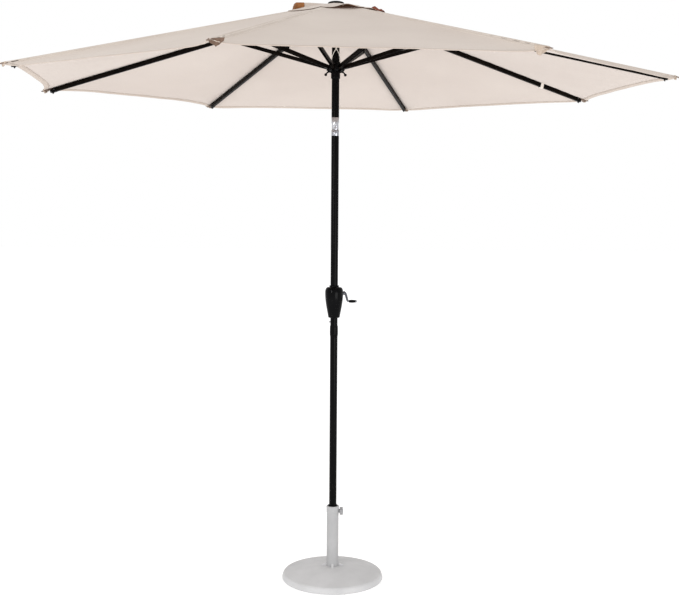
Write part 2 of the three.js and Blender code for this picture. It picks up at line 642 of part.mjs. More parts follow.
function runner() {
  const bottom = RUNNER_PIVOT_Z - 16;
  const top = RUNNER_PIVOT_Z + 11;
  const inside = BARREL_RADIUS - 1.2;
  const flange = revolved([
    [inside, bottom], [FLANGE_RADIUS - 3, bottom], [FLANGE_RADIUS, bottom + 4], [FLANGE_RADIUS, top],
    [inside, top], [inside, bottom],
  ]);
  const half = STRETCHER_WIDTH / 2 + 0.5;
  const slot = box(BARREL_RADIUS + 1.4, 60, -half, half, RUNNER_PIVOT_Z - 30, RUNNER_PIVOT_Z + 30);
  let result = joined(tube(BARREL_RADIUS, RUNNER_BORE, runnerLowZ, runnerTopZ, 24), flange);
  for (let i = 0; i < RIB_COUNT; i++)
    result = result.subtract(slot.rotate([0, 0, FIRST_RIB_AZIMUTH + i * RIB_STEP]));
  for (const azimuth of HOOK_AZIMUTHS) result = result.add(runnerHook().rotate([0, 0, azimuth]));
  return result;
}
add("runner", runner(), blackPlastic);

// ---- lift cord ----------------------------------------------------------------------------------
const CORD_RADIUS = 1.5;
const BRIDLE_Z = 2267; // where the cord divides above the runner
const BRIDLE_SPREAD = rad(75);
const CORD_BREAK = 0.5; // half the gap at the tilt axis
const wrapRadius = PULLEY_RADIUS + 0.1;
const dropRadius = PULLEY_OFFSET + wrapRadius;
const onCordSide = (r, z) => toCord(r, z).toArray();
const cordOut = CRANK_Z + SPOOL_CORE + 0.4;
const lowerLength = TILT_Z - CORD_BREAK - cordOut;
add("lift_cord_lower", rod(CORD_RADIUS, lowerLength, vec(0, 0, cordOut), Z, 8), whiteCord);
const overPulley = [];
for (let i = 0; i <= 6; i++) {
  const a = Math.PI * (1 - i / 6);
  const [out, up] = [wrapRadius * Math.cos(a), wrapRadius * Math.sin(a)];
  overPulley.push(onCordSide(PULLEY_OFFSET + out, PULLEY_Z + up));
}
const bendStart = PULLEY_Z - 38;
const bendFoot = [[0, 0, bendStart], [0, 0, bendStart + 8], onCordSide(-1.6, PULLEY_Z - 14)];
const bendRoute = [...bendFoot, ...overPulley];
const cordRise = rod(CORD_RADIUS, bendStart + 1 - TILT_Z, vec(0, 0, TILT_Z + CORD_BREAK), Z, 8);
add("lift_cord_upper", joined(cordRise, bent(bendRoute, CORD_RADIUS, 16)), whiteCord);
const dropLength = PULLEY_Z - 0.6 - BRIDLE_Z;
add("lift_cord_drop", rod(CORD_RADIUS, dropLength, toCord(dropRadius, BRIDLE_Z), Z, 8), whiteCord);

// The cord's end divides and goes round the pole to both sides of the runner.
function bridle() {
  const top = BRIDLE_Z - 2.5;
  const fall = top - (runnerTopZ + 0.4);
  const leg = (side) => {
    const points = [];
    for (let i = 0; i <= 8; i++) {
      const t = i / 8;
      const a = CORD_AZIMUTH + side * BRIDLE_SPREAD * Math.sin((Math.PI / 2) * t);
      points.push([dropRadius * Math.cos(a), dropRadius * Math.sin(a), top - fall * t]);
    }
    return bent(points, CORD_RADIUS, 10, 6);
  };
  const place = new THREE.Matrix4().setPosition(toCord(dropRadius + 0.3, BRIDLE_Z - 3));
  return joined(leg(-1), leg(1), solid(new THREE.SphereGeometry(2.6, 8, 5), place));
}
add("cord_bridle", bridle(), whiteCord);

// ---- canopy -------------------------------------------------------------------------------------
const halfPanel = rad(RIB_STEP / 2);
const ribTopZ = (r) => HUB_PIVOT_Z - (r - HUB_PIVOT_RADIUS) * ribSlope + ribTopAbove + CLOTH_CLEAR;

// A point of the cloth between two ribs: u runs from vent (0) to hem (1), v from rib (-1) to rib (1).
function clothPoint(u, v, lift) {
  const hem = CANOPY_RADIUS * Math.cos(halfPanel) - HEM_HOLLOW * (1 - v ** HEM_SHAPE);
  const near = VENT_RADIUS * Math.cos(halfPanel);
  const x = near + (hem - near) * u;
  const rim = x / Math.cos(halfPanel);
  const half = x * Math.tan(halfPanel) - SEAM_HALF_GAP / Math.cos(halfPanel);
  const sag = PANEL_SAG * (1 - v * v) * Math.sin(Math.PI * 0.85 * u);
  return [x, v * half, ribTopZ(rim) - sag + lift];
}

// A thin closed sheet over a (u, v) grid, split a constant thickness apart.
function sheet(point, rows, columns) {
  const position = [];
  const index = [];
  const id = (side, i, j) => side * (rows + 1) * (columns + 1) + i * (columns + 1) + j;
  for (const lift of [0, CLOTH])
    for (let i = 0; i <= rows; i++)
      for (let j = 0; j <= columns; j++) position.push(...point(i / rows, (2 * j) / columns - 1, lift));
  const quad = (a, b, c, d) => index.push(a, b, c, a, c, d);
  for (let i = 0; i < rows; i++)
    for (let j = 0; j < columns; j++) {
      quad(id(1, i, j), id(1, i + 1, j), id(1, i + 1, j + 1), id(1, i, j + 1));
      quad(id(0, i, j), id(0, i, j + 1), id(0, i + 1, j + 1), id(0, i + 1, j));
    }
  for (let i = 0; i < rows; i++) {
    quad(id(0, i, 0), id(0, i + 1, 0), id(1, i + 1, 0), id(1, i, 0));
    quad(id(0, i + 1, columns), id(0, i, columns), id(1, i, columns), id(1, i + 1, columns));
  }
  for (let j = 0; j < columns; j++) {
    quad(id(0, 0, j + 1), id(0, 0, j), id(1, 0, j), id(1, 0, j + 1));
    quad(id(0, rows, j), id(0, rows, j + 1), id(1, rows, j + 1), id(1, rows, j));
  }
  const geometry = new THREE.BufferGeometry();
  geometry.setAttribute("position", new THREE.Float32BufferAttribute(position, 3));
  geometry.setIndex(index);
  return solid(geometry);
}

const panelSolid = sheet(clothPoint, 6, 6);
for (let i = 0; i < RIB_COUNT; i++)
  add(`canopy_panel_${i + 1}`, panelSolid, cloth, spoke(ribAzimuth(i) + halfPanel));

// The vent cap: a shallow eight-sided cone clamped under the finial.
const capZ = (r) => VENT_CAP_Z - (r - VENT_CAP_FLAT) * VENT_CAP_SLOPE;

function ventCap() {
  const corners = (r, z) => Array.from({ length: RIB_COUNT }, (_, i) => {
    const a = ribAzimuth(i);
    return [r * Math.cos(a), r * Math.sin(a), z];
  });
  const stations = [
    [FINIAL_STUD_CLEAR, VENT_CAP_Z], [VENT_CAP_FLAT, VENT_CAP_Z], [VENT_CAP_RADIUS, capZ(VENT_CAP_RADIUS)],
  ];
  const under = stations.map(([r, z]) => corners(r, z - VENT_CAP_THICK));
  const over = stations.map(([r, z]) => corners(r, z)).reverse();
  const rings = [...under, ...over];
  const index = [];
  for (let k = 0; k < rings.length; k++)
    for (let i = 0; i < RIB_COUNT; i++) {
      const next = (i + 1) % RIB_COUNT;
      const [a, b] = [k * RIB_COUNT, ((k + 1) % rings.length) * RIB_COUNT];
      index.push(a + i, b + next, b + i, a + i, a + next, b + next);
    }
  const geometry = new THREE.BufferGeometry();
  geometry.setAttribute("position", new THREE.Float32BufferAttribute(rings.flat(2), 3));
  geometry.setIndex(index);
  return solid(geometry);
}
add("vent_cap", ventCap(), cloth);

export default umbrella;
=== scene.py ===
"""Patio umbrella with base: eight-rib canopy, crank lift, push-button tilt and a round weighted foot.

Sizes are in millimetres and degrees, and become metres where a mesh is made. The origin is under the middle
of the foot, +Z is up and the crank is on +X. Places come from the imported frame's joints and boxes.
"""
import json
import math

import bmesh
import bpy
from mathutils import Matrix, Vector, noise


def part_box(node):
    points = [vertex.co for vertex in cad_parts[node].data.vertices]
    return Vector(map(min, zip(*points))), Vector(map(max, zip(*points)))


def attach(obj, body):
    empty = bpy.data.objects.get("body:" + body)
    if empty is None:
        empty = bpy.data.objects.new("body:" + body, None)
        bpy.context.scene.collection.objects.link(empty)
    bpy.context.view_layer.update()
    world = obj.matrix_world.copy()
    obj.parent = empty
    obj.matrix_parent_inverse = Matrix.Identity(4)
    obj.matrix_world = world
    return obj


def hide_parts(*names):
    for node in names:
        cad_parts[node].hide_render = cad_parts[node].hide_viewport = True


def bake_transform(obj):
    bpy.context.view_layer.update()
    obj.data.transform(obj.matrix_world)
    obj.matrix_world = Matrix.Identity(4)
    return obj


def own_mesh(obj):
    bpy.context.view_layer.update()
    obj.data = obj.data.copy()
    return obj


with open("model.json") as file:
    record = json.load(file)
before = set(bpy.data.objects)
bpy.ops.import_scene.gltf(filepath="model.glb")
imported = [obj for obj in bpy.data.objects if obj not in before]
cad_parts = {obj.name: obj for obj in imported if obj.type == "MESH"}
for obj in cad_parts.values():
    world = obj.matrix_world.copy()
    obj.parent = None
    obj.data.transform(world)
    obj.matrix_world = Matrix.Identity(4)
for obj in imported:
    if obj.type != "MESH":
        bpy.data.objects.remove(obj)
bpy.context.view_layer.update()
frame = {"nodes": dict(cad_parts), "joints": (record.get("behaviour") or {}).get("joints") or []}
scene = bpy.context.scene
scene.view_settings.view_transform = "Standard"

MM = 0.001
RIBS = 8
HALF = math.radians(180 / RIBS)  # half the angle between two ribs
SMOOTH = 180  # the shading angle of cloth, which has no sharp edge
joints = {j["name"]: j for j in frame["joints"]}


def box_mm(node):
    """Lowest and highest corner of a CAD node, in millimetres."""
    low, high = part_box(node)
    return low / MM, high / MM


# ---- camera, light and floor -----------------------------------------------------------------------
CAMERA_PLACE = (0, -4.703, 1.651)
CAMERA_LENS = 58.84
CAMERA_YAW, CAMERA_RISE, CAMERA_ROLL = 0.28, 5.23, 0.4


def make_camera():
    data = bpy.data.cameras.new("camera")
    data.lens = CAMERA_LENS
    camera = bpy.data.objects.new("camera", data)
    scene.collection.objects.link(camera)
    turn = (
        Matrix.Rotation(math.radians(CAMERA_ROLL), 3, "Y")
        @ Matrix.Rotation(math.radians(CAMERA_RISE), 3, "X")
        @ Matrix.Rotation(math.radians(CAMERA_YAW), 3, "Z")
    )
    right, forward, up = turn
    axes = Matrix((right, up, -forward)).transposed().to_4x4()
    camera.matrix_world = Matrix.Translation(CAMERA_PLACE) @ axes
    scene.camera = camera


def area_light(name, place, aim, size, power):
    data = bpy.data.lights.new(name, "AREA")
    data.shape = "RECTANGLE"
    data.size, data.size_y = size
    data.energy = power
    light = bpy.data.objects.new(name, data)
    scene.collection.objects.link(light)
    light.location = place
    light.rotation_euler = (Vector(aim) - Vector(place)).to_track_quat("-Z", "Y").to_euler()
    light.visible_camera = False


def make_world():
    """A white studio all round."""
    world = bpy.data.worlds.new("studio")
    scene.world = world
    world.use_nodes = True
    world.node_tree.nodes["Background"].inputs["Color"].default_value = (1, 1, 1, 1)


def make_floor():
    floor = shape_object("floor", [slab(-30000, 30000, -30000, 30000, -40, 0)], floor_look())


# ---- mesh helpers: a shape is (points, faces, uvs or None) -----------------------------------------
def shape_object(name, shapes, look, sharp=32):
    """One object of one or more shapes, in millimetres, with smooth shading up to the sharp angle."""
    points, faces, uvs = [], [], []
    for shape_points, shape_faces, shape_uvs in shapes:
        first = len(points)
        points += [Vector(p) * MM for p in shape_points]
        faces += [[first + k for k in face] for face in shape_faces]
        uvs += shape_uvs or [(0, 0)] * len(shape_points)
    mesh = bpy.data.meshes.new(name)
    mesh.from_pydata(points, [], faces)
    layer = mesh.uv_layers.new(name="UVMap")
    for loop in mesh.loops:
        layer.data[loop.index].uv = uvs[loop.vertex_index]
    work = bmesh.new()
    work.from_mesh(mesh)
    bmesh.ops.remove_doubles(work, verts=work.verts, dist=2e-6)
    bmesh.ops.dissolve_degenerate(work, edges=work.edges, dist=1e-6)
    bmesh.ops.recalc_face_normals(work, faces=work.faces)
    work.to_mesh(mesh)
    work.free()
    mesh.shade_smooth()
    mesh.set_sharp_from_angle(angle=math.radians(sharp))
    mesh.materials.append(look)
    obj = bpy.data.objects.new(name, mesh)
    scene.collection.objects.link(obj)
    return obj


def moved(shape, matrix):
    points, faces, uvs = shape
    return [matrix @ Vector(p) for p in points], faces, uvs


def soften(obj, width, segments=2, angle=30):
    bevel = obj.modifiers.new("edges", "BEVEL")
    bevel.width = width * MM
    bevel.segments = segments
    bevel.limit_method = "ANGLE"
    bevel.angle_limit = math.radians(angle)
    return obj


def rounded(corners, radius, steps=3):
    """A closed outline with each corner rounded by up to radius."""
    result = []
    for k, (x, y) in enumerate(corners):
        here = Vector((x, y))
        before, after = Vector(corners[k - 1]), Vector(corners[(k + 1) % len(corners)])
        back, ahead = before - here, after - here
        reach = min(radius, 0.45 * back.length, 0.45 * ahead.length)
        if x < 1e-6 or back.angle(ahead, 0) > math.radians(172):
            result.append((x, y))
            continue
        start, end = here + back.normalized() * reach, here + ahead.normalized() * reach
        for s in range(steps + 1):
            t = s / steps
            p = start * (1 - t) ** 2 + here * 2 * t * (1 - t) + end * t**2
            result.append((p.x, p.y))
    return result


def lathe(profile, sides=96, turn=360, start=0):
    """A closed (radius, z) outline turned about +Z."""
    count = len(profile)
    whole = turn == 360
    rings = sides if whole else sides + 1
    points, faces = [], []
    for k in range(rings):
        a = math.radians(start + turn * k / sides)
        points += [(r * math.cos(a), r * math.sin(a), z) for r, z in profile]
    for k in range(sides):
        this, after = k * count, ((k + 1) % rings) * count
        for j in range(count):
            n = (j + 1) % count
            faces.append([this + j, after + j, after + n, this + n])
    if not whole:
        faces += [list(range(count)), list(range((rings - 1) * count, rings * count))]
    return points, faces, None


def prism(outline, low, high, matrix=None):
    """An outline in XY, extruded along Z."""
    count = len(outline)
    points = [(x, y, z) for z in (low, high) for x, y in outline]
    faces = [list(range(count)), list(range(count, 2 * count))]
    faces += [[k, (k + 1) % count, count + (k + 1) % count, count + k] for k in range(count)]
    shape = (points, faces, None)
    return moved(shape, matrix) if matrix else shape


def slab(x0, x1, y0, y1, z0, z1):
    return prism([(x0, y0), (x1, y0), (x1, y1), (x0, y1)], z0, z1)


def circle(radius, sides=24):
    turns = [math.tau * k / sides for k in range(sides)]
    return [(radius * math.cos(a), radius * math.sin(a)) for a in turns]


def sweep(path, section, scales=None, up=(0, 0, 1)):
    """A closed section carried along a path without twisting, with flat ends."""
    path = [Vector(p) for p in path]
    points, faces, uvs = [], [], []
    count = len(section)
    side = None
    along = 0.0
    for k, here in enumerate(path):
        ahead = (path[min(k + 1, len(path) - 1)] - path[max(k - 1, 0)]).normalized()
        if side is None:
            reference = Vector(up) if abs(ahead.dot(Vector(up))) < 0.95 else Vector((1, 0, 0))
            side = reference.cross(ahead).normalized()
        side = (side - ahead * side.dot(ahead)).normalized()
        top = ahead.cross(side)
        scale = scales[k] if scales else 1.0
        if k:
            along += (here - path[k - 1]).length
        for j, (a, b) in enumerate(section):
            points.append(here + (side * a + top * b) * scale)
            uvs.append((along * MM, j / count))
    for k in range(len(path) - 1):
        for j in range(count):
            n = (j + 1) % count
            faces.append([k * count + j, k * count + n, (k + 1) * count + n, (k + 1) * count + j])
    last = (len(path) - 1) * count
    faces += [list(range(count)), list(range(last, last + count))]
    return points, faces, uvs


def curve_through(knots, steps=8):
    """A smooth path through a few points (Catmull-Rom)."""
    knots = [Vector(k) for k in knots]
    padded = [2 * knots[0] - knots[1], *knots, 2 * knots[-1] - knots[-2]]
    path = []
    for a, b, c, d in zip(padded, padded[1:], padded[2:], padded[3:]):
        for s in range(steps):
            t = s / steps
            square, cube = 2 * a - 5 * b + 4 * c - d, 3 * b - a - 3 * c + d
            path.append(0.5 * (2 * b + (c - a) * t + square * t**2 + cube * t**3))
    return [*path, knots[-1]]


def ball(radius, centre, squash=1.0, sides=24):
    """A round ball, made as a turned half circle."""
    steps = sides // 2
    outline = []
    for k in range(steps + 1):
        a = math.pi * k / steps - math.pi / 2
        outline.append((max(0.0, radius * math.cos(a)), radius * squash * math.sin(a)))
    return moved(lathe(outline, sides), Matrix.Translation(centre))


def grid(rows, columns, place):
    """An open sheet: place(s, t) gives a point and its flat uv for s and t from 0 to 1."""
    points, uvs, faces = [], [], []
    for i in range(rows + 1):
        for j in range(columns + 1):
            point, uv = place(i / rows, j / columns)
            points.append(point)
            uvs.append(uv)
    wide = columns + 1
    for i in range(rows):
        for j in range(columns):
            a = i * wide + j
            faces.append([a, a + wide, a + wide + 1, a + 1])
    return points, faces, uvs


def thicken(obj, thickness, inner_look=None):
    """Gives a sheet its thickness, and its underside a look of its own."""
    solid = obj.modifiers.new("thickness", "SOLIDIFY")
    solid.thickness = thickness * MM
    solid.offset = 0.0
    if inner_look:
        obj.data.materials.append(inner_look)
        solid.material_offset = 1
    return obj


def carve(obj, cutters):
    """Cuts shapes out of an object and keeps the result as its mesh."""
    tool = shape_object("cutter", cutters, obj.data.materials[0])
    cut = obj.modifiers.new("cut", "BOOLEAN")
    cut.operation = "DIFFERENCE"
    cut.solver = "EXACT"
    cut.object = tool
    bpy.context.view_layer.update()
    result = bpy.data.meshes.new_from_object(obj.evaluated_get(bpy.context.evaluated_depsgraph_get()))
    obj.modifiers.clear()
    obj.data = result
    result.shade_smooth()
    result.set_sharp_from_angle(angle=math.radians(32))
    bpy.data.objects.remove(tool)
    return obj


def along_x(x=0, y=0, z=0):
    """Turns a shape made about +Z so that it lies about +X, and puts it at a point."""
    return Matrix.Translation((x, y, z)) @ Matrix.Rotation(math.pi / 2, 4, "Y")


def lathe_x(profile, x, z):
    """An outline turned about a line along +X."""
    return moved(lathe(profile, 48), along_x(x, 0, z))


def mount(obj, body, slot, *nodes):
    """Puts a piece on its body and hides the CAD nodes that it replaces. Its slot argument is not used."""
    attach(obj, body)
    if nodes:
        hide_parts(*nodes)
    return obj


# ---- materials -------------------------------------------------------------------------------------
def linear(*srgb):
    """A colour given as 0-255 screen values, as the shaders want it."""
    return tuple(((c / 255 + 0.055) / 1.055) ** 2.4 if c > 10 else c / 3294.6 for c in srgb) + (1,)


class Look:
    """A node material on one Principled shader, with short calls for what it is built from."""

    def __init__(self, name, roughness, metallic=0.0, specular=0.5):
        self.material = bpy.data.materials.new(name)
        self.material.use_nodes = True
        self.nodes = self.material.node_tree.nodes
        self.links = self.material.node_tree.links
        self.shader = self.nodes["Principled BSDF"]
        self.set("Roughness", roughness)
        self.set("Metallic", metallic)
        self.set("Specular IOR Level", specular)
        self.coords = self.nodes.new("ShaderNodeTexCoord")

    def set(self, socket, value):
        self.shader.inputs[socket].default_value = value

    def noise(self, scale, detail=3.0, stretch=(1, 1, 1), space="Object"):
        mapping = self.nodes.new("ShaderNodeMapping")
        mapping.inputs["Scale"].default_value = stretch
        texture = self.nodes.new("ShaderNodeTexNoise")
        texture.inputs["Scale"].default_value = scale
        texture.inputs["Detail"].default_value = detail
        self.links.new(self.coords.outputs[space], mapping.inputs["Vector"])
        self.links.new(mapping.outputs["Vector"], texture.inputs["Vector"])
        return texture.outputs["Fac"]

    def bands(self, pitch, direction):
        texture = self.nodes.new("ShaderNodeTexWave")
        texture.bands_direction = direction
        texture.inputs["Scale"].default_value = math.tau / 20 / (pitch * MM)
        self.links.new(self.coords.outputs["UV"], texture.inputs["Vector"])
        return texture.outputs["Fac"]

    def math(self, operation, a, b):
        node = self.nodes.new("ShaderNodeMath")
        node.operation = operation
        for socket, value in zip(node.inputs, (a, b)):
            if isinstance(value, (int, float)):
                socket.default_value = value
            else:
                self.links.new(value, socket)
        return node.outputs["Value"]

    def spread(self, value, low, high, start=0.35, end=0.65):
        node = self.nodes.new("ShaderNodeMapRange")
        for socket, number in (("From Min", start), ("From Max", end), ("To Min", low), ("To Max", high)):
            node.inputs[socket].default_value = number
        self.links.new(value, node.inputs["Value"])
        return node.outputs["Result"]

    def mix(self, factor, first, second):
        node = self.nodes.new("ShaderNodeMix")
        node.data_type = "RGBA"
        self.links.new(factor, node.inputs["Factor"])
        for name, colour in (("A", first), ("B", second)):
            socket = next(s for s in node.inputs if s.name == name and s.type == "RGBA")
            if isinstance(colour, tuple):
                socket.default_value = colour
            else:
                self.links.new(colour, socket)
        return next(s for s in node.outputs if s.type == "RGBA")

    def to(self, value, socket):
        self.links.new(value, self.shader.inputs[socket])

    def bump(self, height, depth, strength):
        node = self.nodes.new("ShaderNodeBump")
        node.inputs["Strength"].default_value = strength
        node.inputs["Distance"].default_value = depth * MM
        self.links.new(height, node.inputs["Height"])
        self.links.new(node.outputs["Normal"], self.shader.inputs["Normal"])


def cloth_look(name, light, dark, pitch=0.9, glow=0.0, patches=2.2):
    """Plain-woven polyester: two crossing thread directions, slubs, faint clouding and a soft sheen.

    The glow stands for daylight that comes through thin cloth.
    """
    look = Look(name, 0.85, specular=0.25)
    look.set("Sheen Weight", 0.12)
    look.set("Sheen Roughness", 0.5)
    clouds = look.spread(look.noise(patches), 0, 0.5)
    slubs = look.spread(look.noise(60, 2, (1, 14, 1), "UV"), 0, 0.25)
    threads = look.math("MAXIMUM", look.bands(pitch, "X"), look.bands(pitch, "Y"))
    tint = look.math("ADD", look.math("ADD", clouds, slubs), look.math("MULTIPLY", threads, 0.12))
    look.to(look.mix(tint, linear(*light), linear(*dark)), "Base Color")
    look.set("Emission Color", linear(*light))
    look.set("Emission Strength", glow)
    look.bump(look.math("ADD", threads, slubs), 0.12, 0.35)
    return look.material


def coated_look(name, light, dark, roughness, grain, depth, specular=0.5, metallic=0.0):
    """Paint, plating or moulded plastic: a fine orange peel, slight clouding and uneven gloss."""
    look = Look(name, roughness, metallic, specular)
    clouds = look.noise(9, 4)
    look.to(look.mix(look.spread(clouds, 0, 1), linear(*light), linear(*dark)), "Base Color")
    look.to(look.spread(look.noise(40, 3), roughness * 0.85, roughness * 1.15), "Roughness")
    look.bump(look.noise(grain, 2), depth, 0.5)
    return look.material


def chrome_look(name, light, dark):
    look = Look(name, 0.14, metallic=1.0)
    look.to(look.mix(look.spread(look.noise(14, 4), 0, 1), linear(*light), linear(*dark)), "Base Color")
    look.to(look.spread(look.noise(180, 3, (1, 1, 0.1)), 0.08, 0.2), "Roughness")
    look.bump(look.noise(500, 2, (1, 1, 0.15)), 0.02, 0.4)
    return look.material


def cord_look():
    look = Look("braided cord", 0.8, specular=0.3)
    braid = look.math("MULTIPLY", look.bands(2.2, "DIAGONAL"), look.bands(2.6, "X"))
    colour = look.mix(look.spread(braid, 0, 1, 0, 1), linear(214, 208, 198), linear(240, 237, 230))
    look.to(colour, "Base Color")
    look.bump(braid, 0.3, 0.8)
    return look.material


def tape_look():
    """The seam's doubled cloth, with its rows of stitches."""
    look = Look("canopy seam", 0.85, specular=0.25)
    look.set("Sheen Weight", 0.12)
    dashes = look.spread(look.bands(3.4, "X"), 0, 1)
    rows = look.spread(look.bands(11, "Y"), 0, 1, 0.9, 1)
    stitch = look.math("MULTIPLY", dashes, rows)
    cloud = look.spread(look.noise(5), 0, 0.6)
    base = look.mix(cloud, linear(201, 189, 178), linear(186, 172, 161))
    look.to(look.mix(stitch, base, linear(232, 224, 214)), "Base Color")
    look.bump(look.math("SUBTRACT", look.bands(0.9, "Y"), stitch), 0.25, 0.5)
    return look.material


def floor_look():
    look = Look("studio floor", 0.95, specular=0.0)
    clouds = look.spread(look.noise(3), 0, 1)
    look.to(look.mix(clouds, (0.93, 0.93, 0.93, 1), (0.9, 0.9, 0.9, 1)), "Base Color")
    look.set("Emission Color", (1, 1, 1, 1))
    look.set("Emission Strength", 0.3)
    return look.material


CLOTH_TOP = cloth_look("canopy cloth, outside", (204, 192, 182), (190, 177, 167))
CLOTH_UNDER = cloth_look("canopy cloth, underside", (203, 192, 184), (193, 181, 173))
# The hem's cloth is the canopy cloth set darker, as painted shade along the fold.
CLOTH_HEM_SHADED = cloth_look("canopy cloth, folded hem, painted shade", (197, 184, 173), (182, 167, 155))
# The gathered corners' cloth is the canopy cloth set darker and browner, as painted shade in the folds.
CLOTH_FOLD_SHADED = cloth_look("canopy cloth, gathered corner, painted shade", (184, 169, 155), (152, 134, 118))
# The cap's underside is the canopy cloth painted brown as shade and light through the cloth, with a faint
# glow.
CLOTH_SHADE = cloth_look("vent cap underside, painted shade and glow", (176, 114, 62), (58, 32, 18), glow=0.08, patches=28)
# The crumpled flap's dark brown is painted shade, with a faint glow for light through the cloth.
CLOTH_CRUMPLE_SHADE = cloth_look("torn cap flap, painted shade and glow", (140, 70, 46), (48, 18, 12), glow=0.05, patches=28)
# Dark webbing colour of the straps and tag, also used for the first corner pocket as painted shadow.
WEBBING_AND_SHADOW = cloth_look("tip webbing, also painted pocket shadow", (120, 98, 84), (84, 64, 52), pitch=1.6)
WEBBING_LIGHT = cloth_look("tie webbing", (236, 230, 222), (214, 205, 196), pitch=1.6)
STEEL = coated_look("black powder coat", (3, 3, 4), (6, 6, 6), 0.2, 900, 0.02, specular=0.06)
# Black rib paint, whose warm brown clouding is a painted reflection of the cloth.
RIB_STEEL_AND_REFLECTION = coated_look("black rib paint, painted warm reflection", (9, 7, 6), (18, 13, 10), 0.3, 900, 0.05, specular=0.03)
PLASTIC = coated_look("glossy black plastic", (3, 3, 4), (5, 5, 6), 0.12, 600, 0.02, specular=0.07)
RESIN = coated_look("foot paint", (196, 196, 197), (188, 188, 189), 0.55, 700, 0.12, specular=0.15)
# The foot tube and collar paint is the foot's grey set darker, as painted shade on the upright tube.
RESIN_TUBE_SHADED = coated_look("foot tube paint, darkened as painted shade", (173, 173, 174), (165, 165, 166), 0.5, 700, 0.1, specular=0.15)
RESIN_KNOB = coated_look("foot knob", (158, 158, 160), (140, 140, 142), 0.5, 700, 0.1, specular=0.2)
ZINC = coated_look("zinc rivet", (96, 94, 92), (70, 68, 66), 0.3, 300, 0.03, metallic=1.0)
CHROME = chrome_look("bright chrome", (205, 206, 210), (150, 151, 156))
CHROME_DIM = chrome_look("crank chrome", (128, 129, 134), (70, 71, 76))
CORD = cord_look()
TAPE = tape_look()

make_camera()
make_world()
make_floor()
area_light("key", (-3.0, -4.6, 2.6), (0, 0, 1.4), (0.5, 2.6), 70)
area_light("fill", (2.6, -4.6, 0.7), (0, 0, 2.2), (3.0, 1.6), 60)


# ---- canopy geometry -------------------------------------------------------------------------------
def pivot_mm(joint):
    return Vector(joints[joint]["pos_m"]) / MM


HUB_PIVOT = pivot_mm("rib_1_fold")
HUB_RADIUS = math.hypot(HUB_PIVOT.x, HUB_PIVOT.y)
DROOP = math.radians(13.6)
RIB_WIDTH, RIB_HEIGHT = 13, 19
RIB_END = 1337
CANOPY_RADIUS = 1372
VENT_RADIUS = 110
# For each panel: how far its hem bows in between two corners, and how far its middle hangs.
HEM_HOLLOWS = (28, 28, 30, 28, 28, 42, 33, 26)
PANEL_SAGS = (21, 14, 9, 13, 13, 0, 0, 21)
HEM_SHAPE = 4.5  # how squarely the hem bows in
HEM_WIDTH = 22
TAPE_HALF = 17
TAPE_TOP_START = 46
POCKET_HALF = 25
# Each corner's pocket: how far it hangs, how far it stands to one side, and whether it takes the dark
# webbing colour as painted shadow.
POCKETS = [(24, 16, True), (32, -20, False)] + [(16, 0, False)] * 6
CLOTH_CLEAR = 2.4
CLOTH_THICK = 0.8
# Plan distances from the middle to the middle of an edge, at the hem and at the vent.
CANOPY_FLAT = CANOPY_RADIUS * math.cos(HALF)  # plan distance to the middle of an edge
VENT_FLAT = VENT_RADIUS * math.cos(HALF)


def azimuth(i):
    """Direction of rib i, in radians from +X."""
    p = pivot_mm(f"rib_{i % RIBS + 1}_fold")
    return math.atan2(p.y, p.x)


def seam_z(r):
    """Height of the cloth over a rib."""
    above = RIB_HEIGHT / 2 / math.cos(DROOP) + CLOTH_CLEAR
    return HUB_PIVOT.z - (r - HUB_RADIUS) * math.tan(DROOP) + above


def spun(angle, x, y, z):
    c, s = math.cos(angle), math.sin(angle)
    return Vector((c * x - s * y, s * x + c * y, z))


def hem_x(i, v):
    """Plan distance of panel i's hem from the middle, where v runs from rib to rib."""
    return CANOPY_FLAT - HEM_HOLLOWS[i] * (1 - abs(v) ** HEM_SHAPE)


def sag(i, u, v):
    """How far the cloth hangs under its flat panel: rounder near the vent, squarer at the hem."""
    u = min(1, max(u, 0))
    return PANEL_SAGS[i] * (1 - abs(v) ** (2 + 14 * u * u)) * math.sin(math.pi * 0.62 * u)


def wrinkle(i, x, y, v):
    """Small folds: fans from the corners, puckers by the seams and a slow unevenness."""
    free = 1 - v * v
    half = x * math.tan(HALF)
    height = 1.6 * free * noise.noise(Vector((x / 210, y / 150, 7.1 * i)))
    height += 0.5 * free * noise.noise(Vector((x / 60, y / 34, 3.3 * i + 40)))
    from_seam = half - abs(y)
    fade = math.exp(-from_seam / 34) * (1 - math.exp(-from_seam / 9))
    height += 0.9 * fade * math.sin(x / 9.5 + 2.5 * noise.noise(Vector((x / 90, i, 5))))
    for side in (-1, 1):
        dx = CANOPY_FLAT - x
        dy = CANOPY_RADIUS * math.sin(HALF) - side * y
        d = math.hypot(dx, dy)
        a = math.atan2(dy, dx + 1e-6)
        fan = math.exp(-d / 150) * (1 - math.exp(-d / 35)) * min(1, from_seam / 12)
        height += 2.6 * fan * math.sin(11 * a + 1.7 * i + side)
    return height


def cloth_point(i, u, v, lift=0.0):
    """A point of panel i: u runs from the vent (0) to the hem (1), v from one rib (-1) to the next (1)."""
    x = VENT_FLAT + (hem_x(i, v) - VENT_FLAT) * u
    y = v * x * math.tan(HALF)
    z = seam_z(x / math.cos(HALF)) - sag(i, u, v) + wrinkle(i, x, y, v) + lift
    return spun(azimuth(i) + HALF, x, y, z), (x * MM, y * MM)


def gather(piece):
    """Gives a piece of cloth its own copy of its mesh."""
    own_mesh(piece)


def make_panels():
    for i in range(RIBS):
        rows, columns = 72, 60
        shape = grid(rows, columns, lambda s, t: cloth_point(i, s, 2 * t - 1))
        panel = shape_object(f"canopy_cloth_{i + 1}", [shape], CLOTH_TOP, SMOOTH)
        thicken(panel, CLOTH_THICK, CLOTH_UNDER)
        hem = make_hem(i)
        for piece in (panel, hem):
            mount(piece, f"panel_{i + 1}", "canopy_cloth")
            gather(piece)
        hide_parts(f"canopy_panel_{i + 1}")


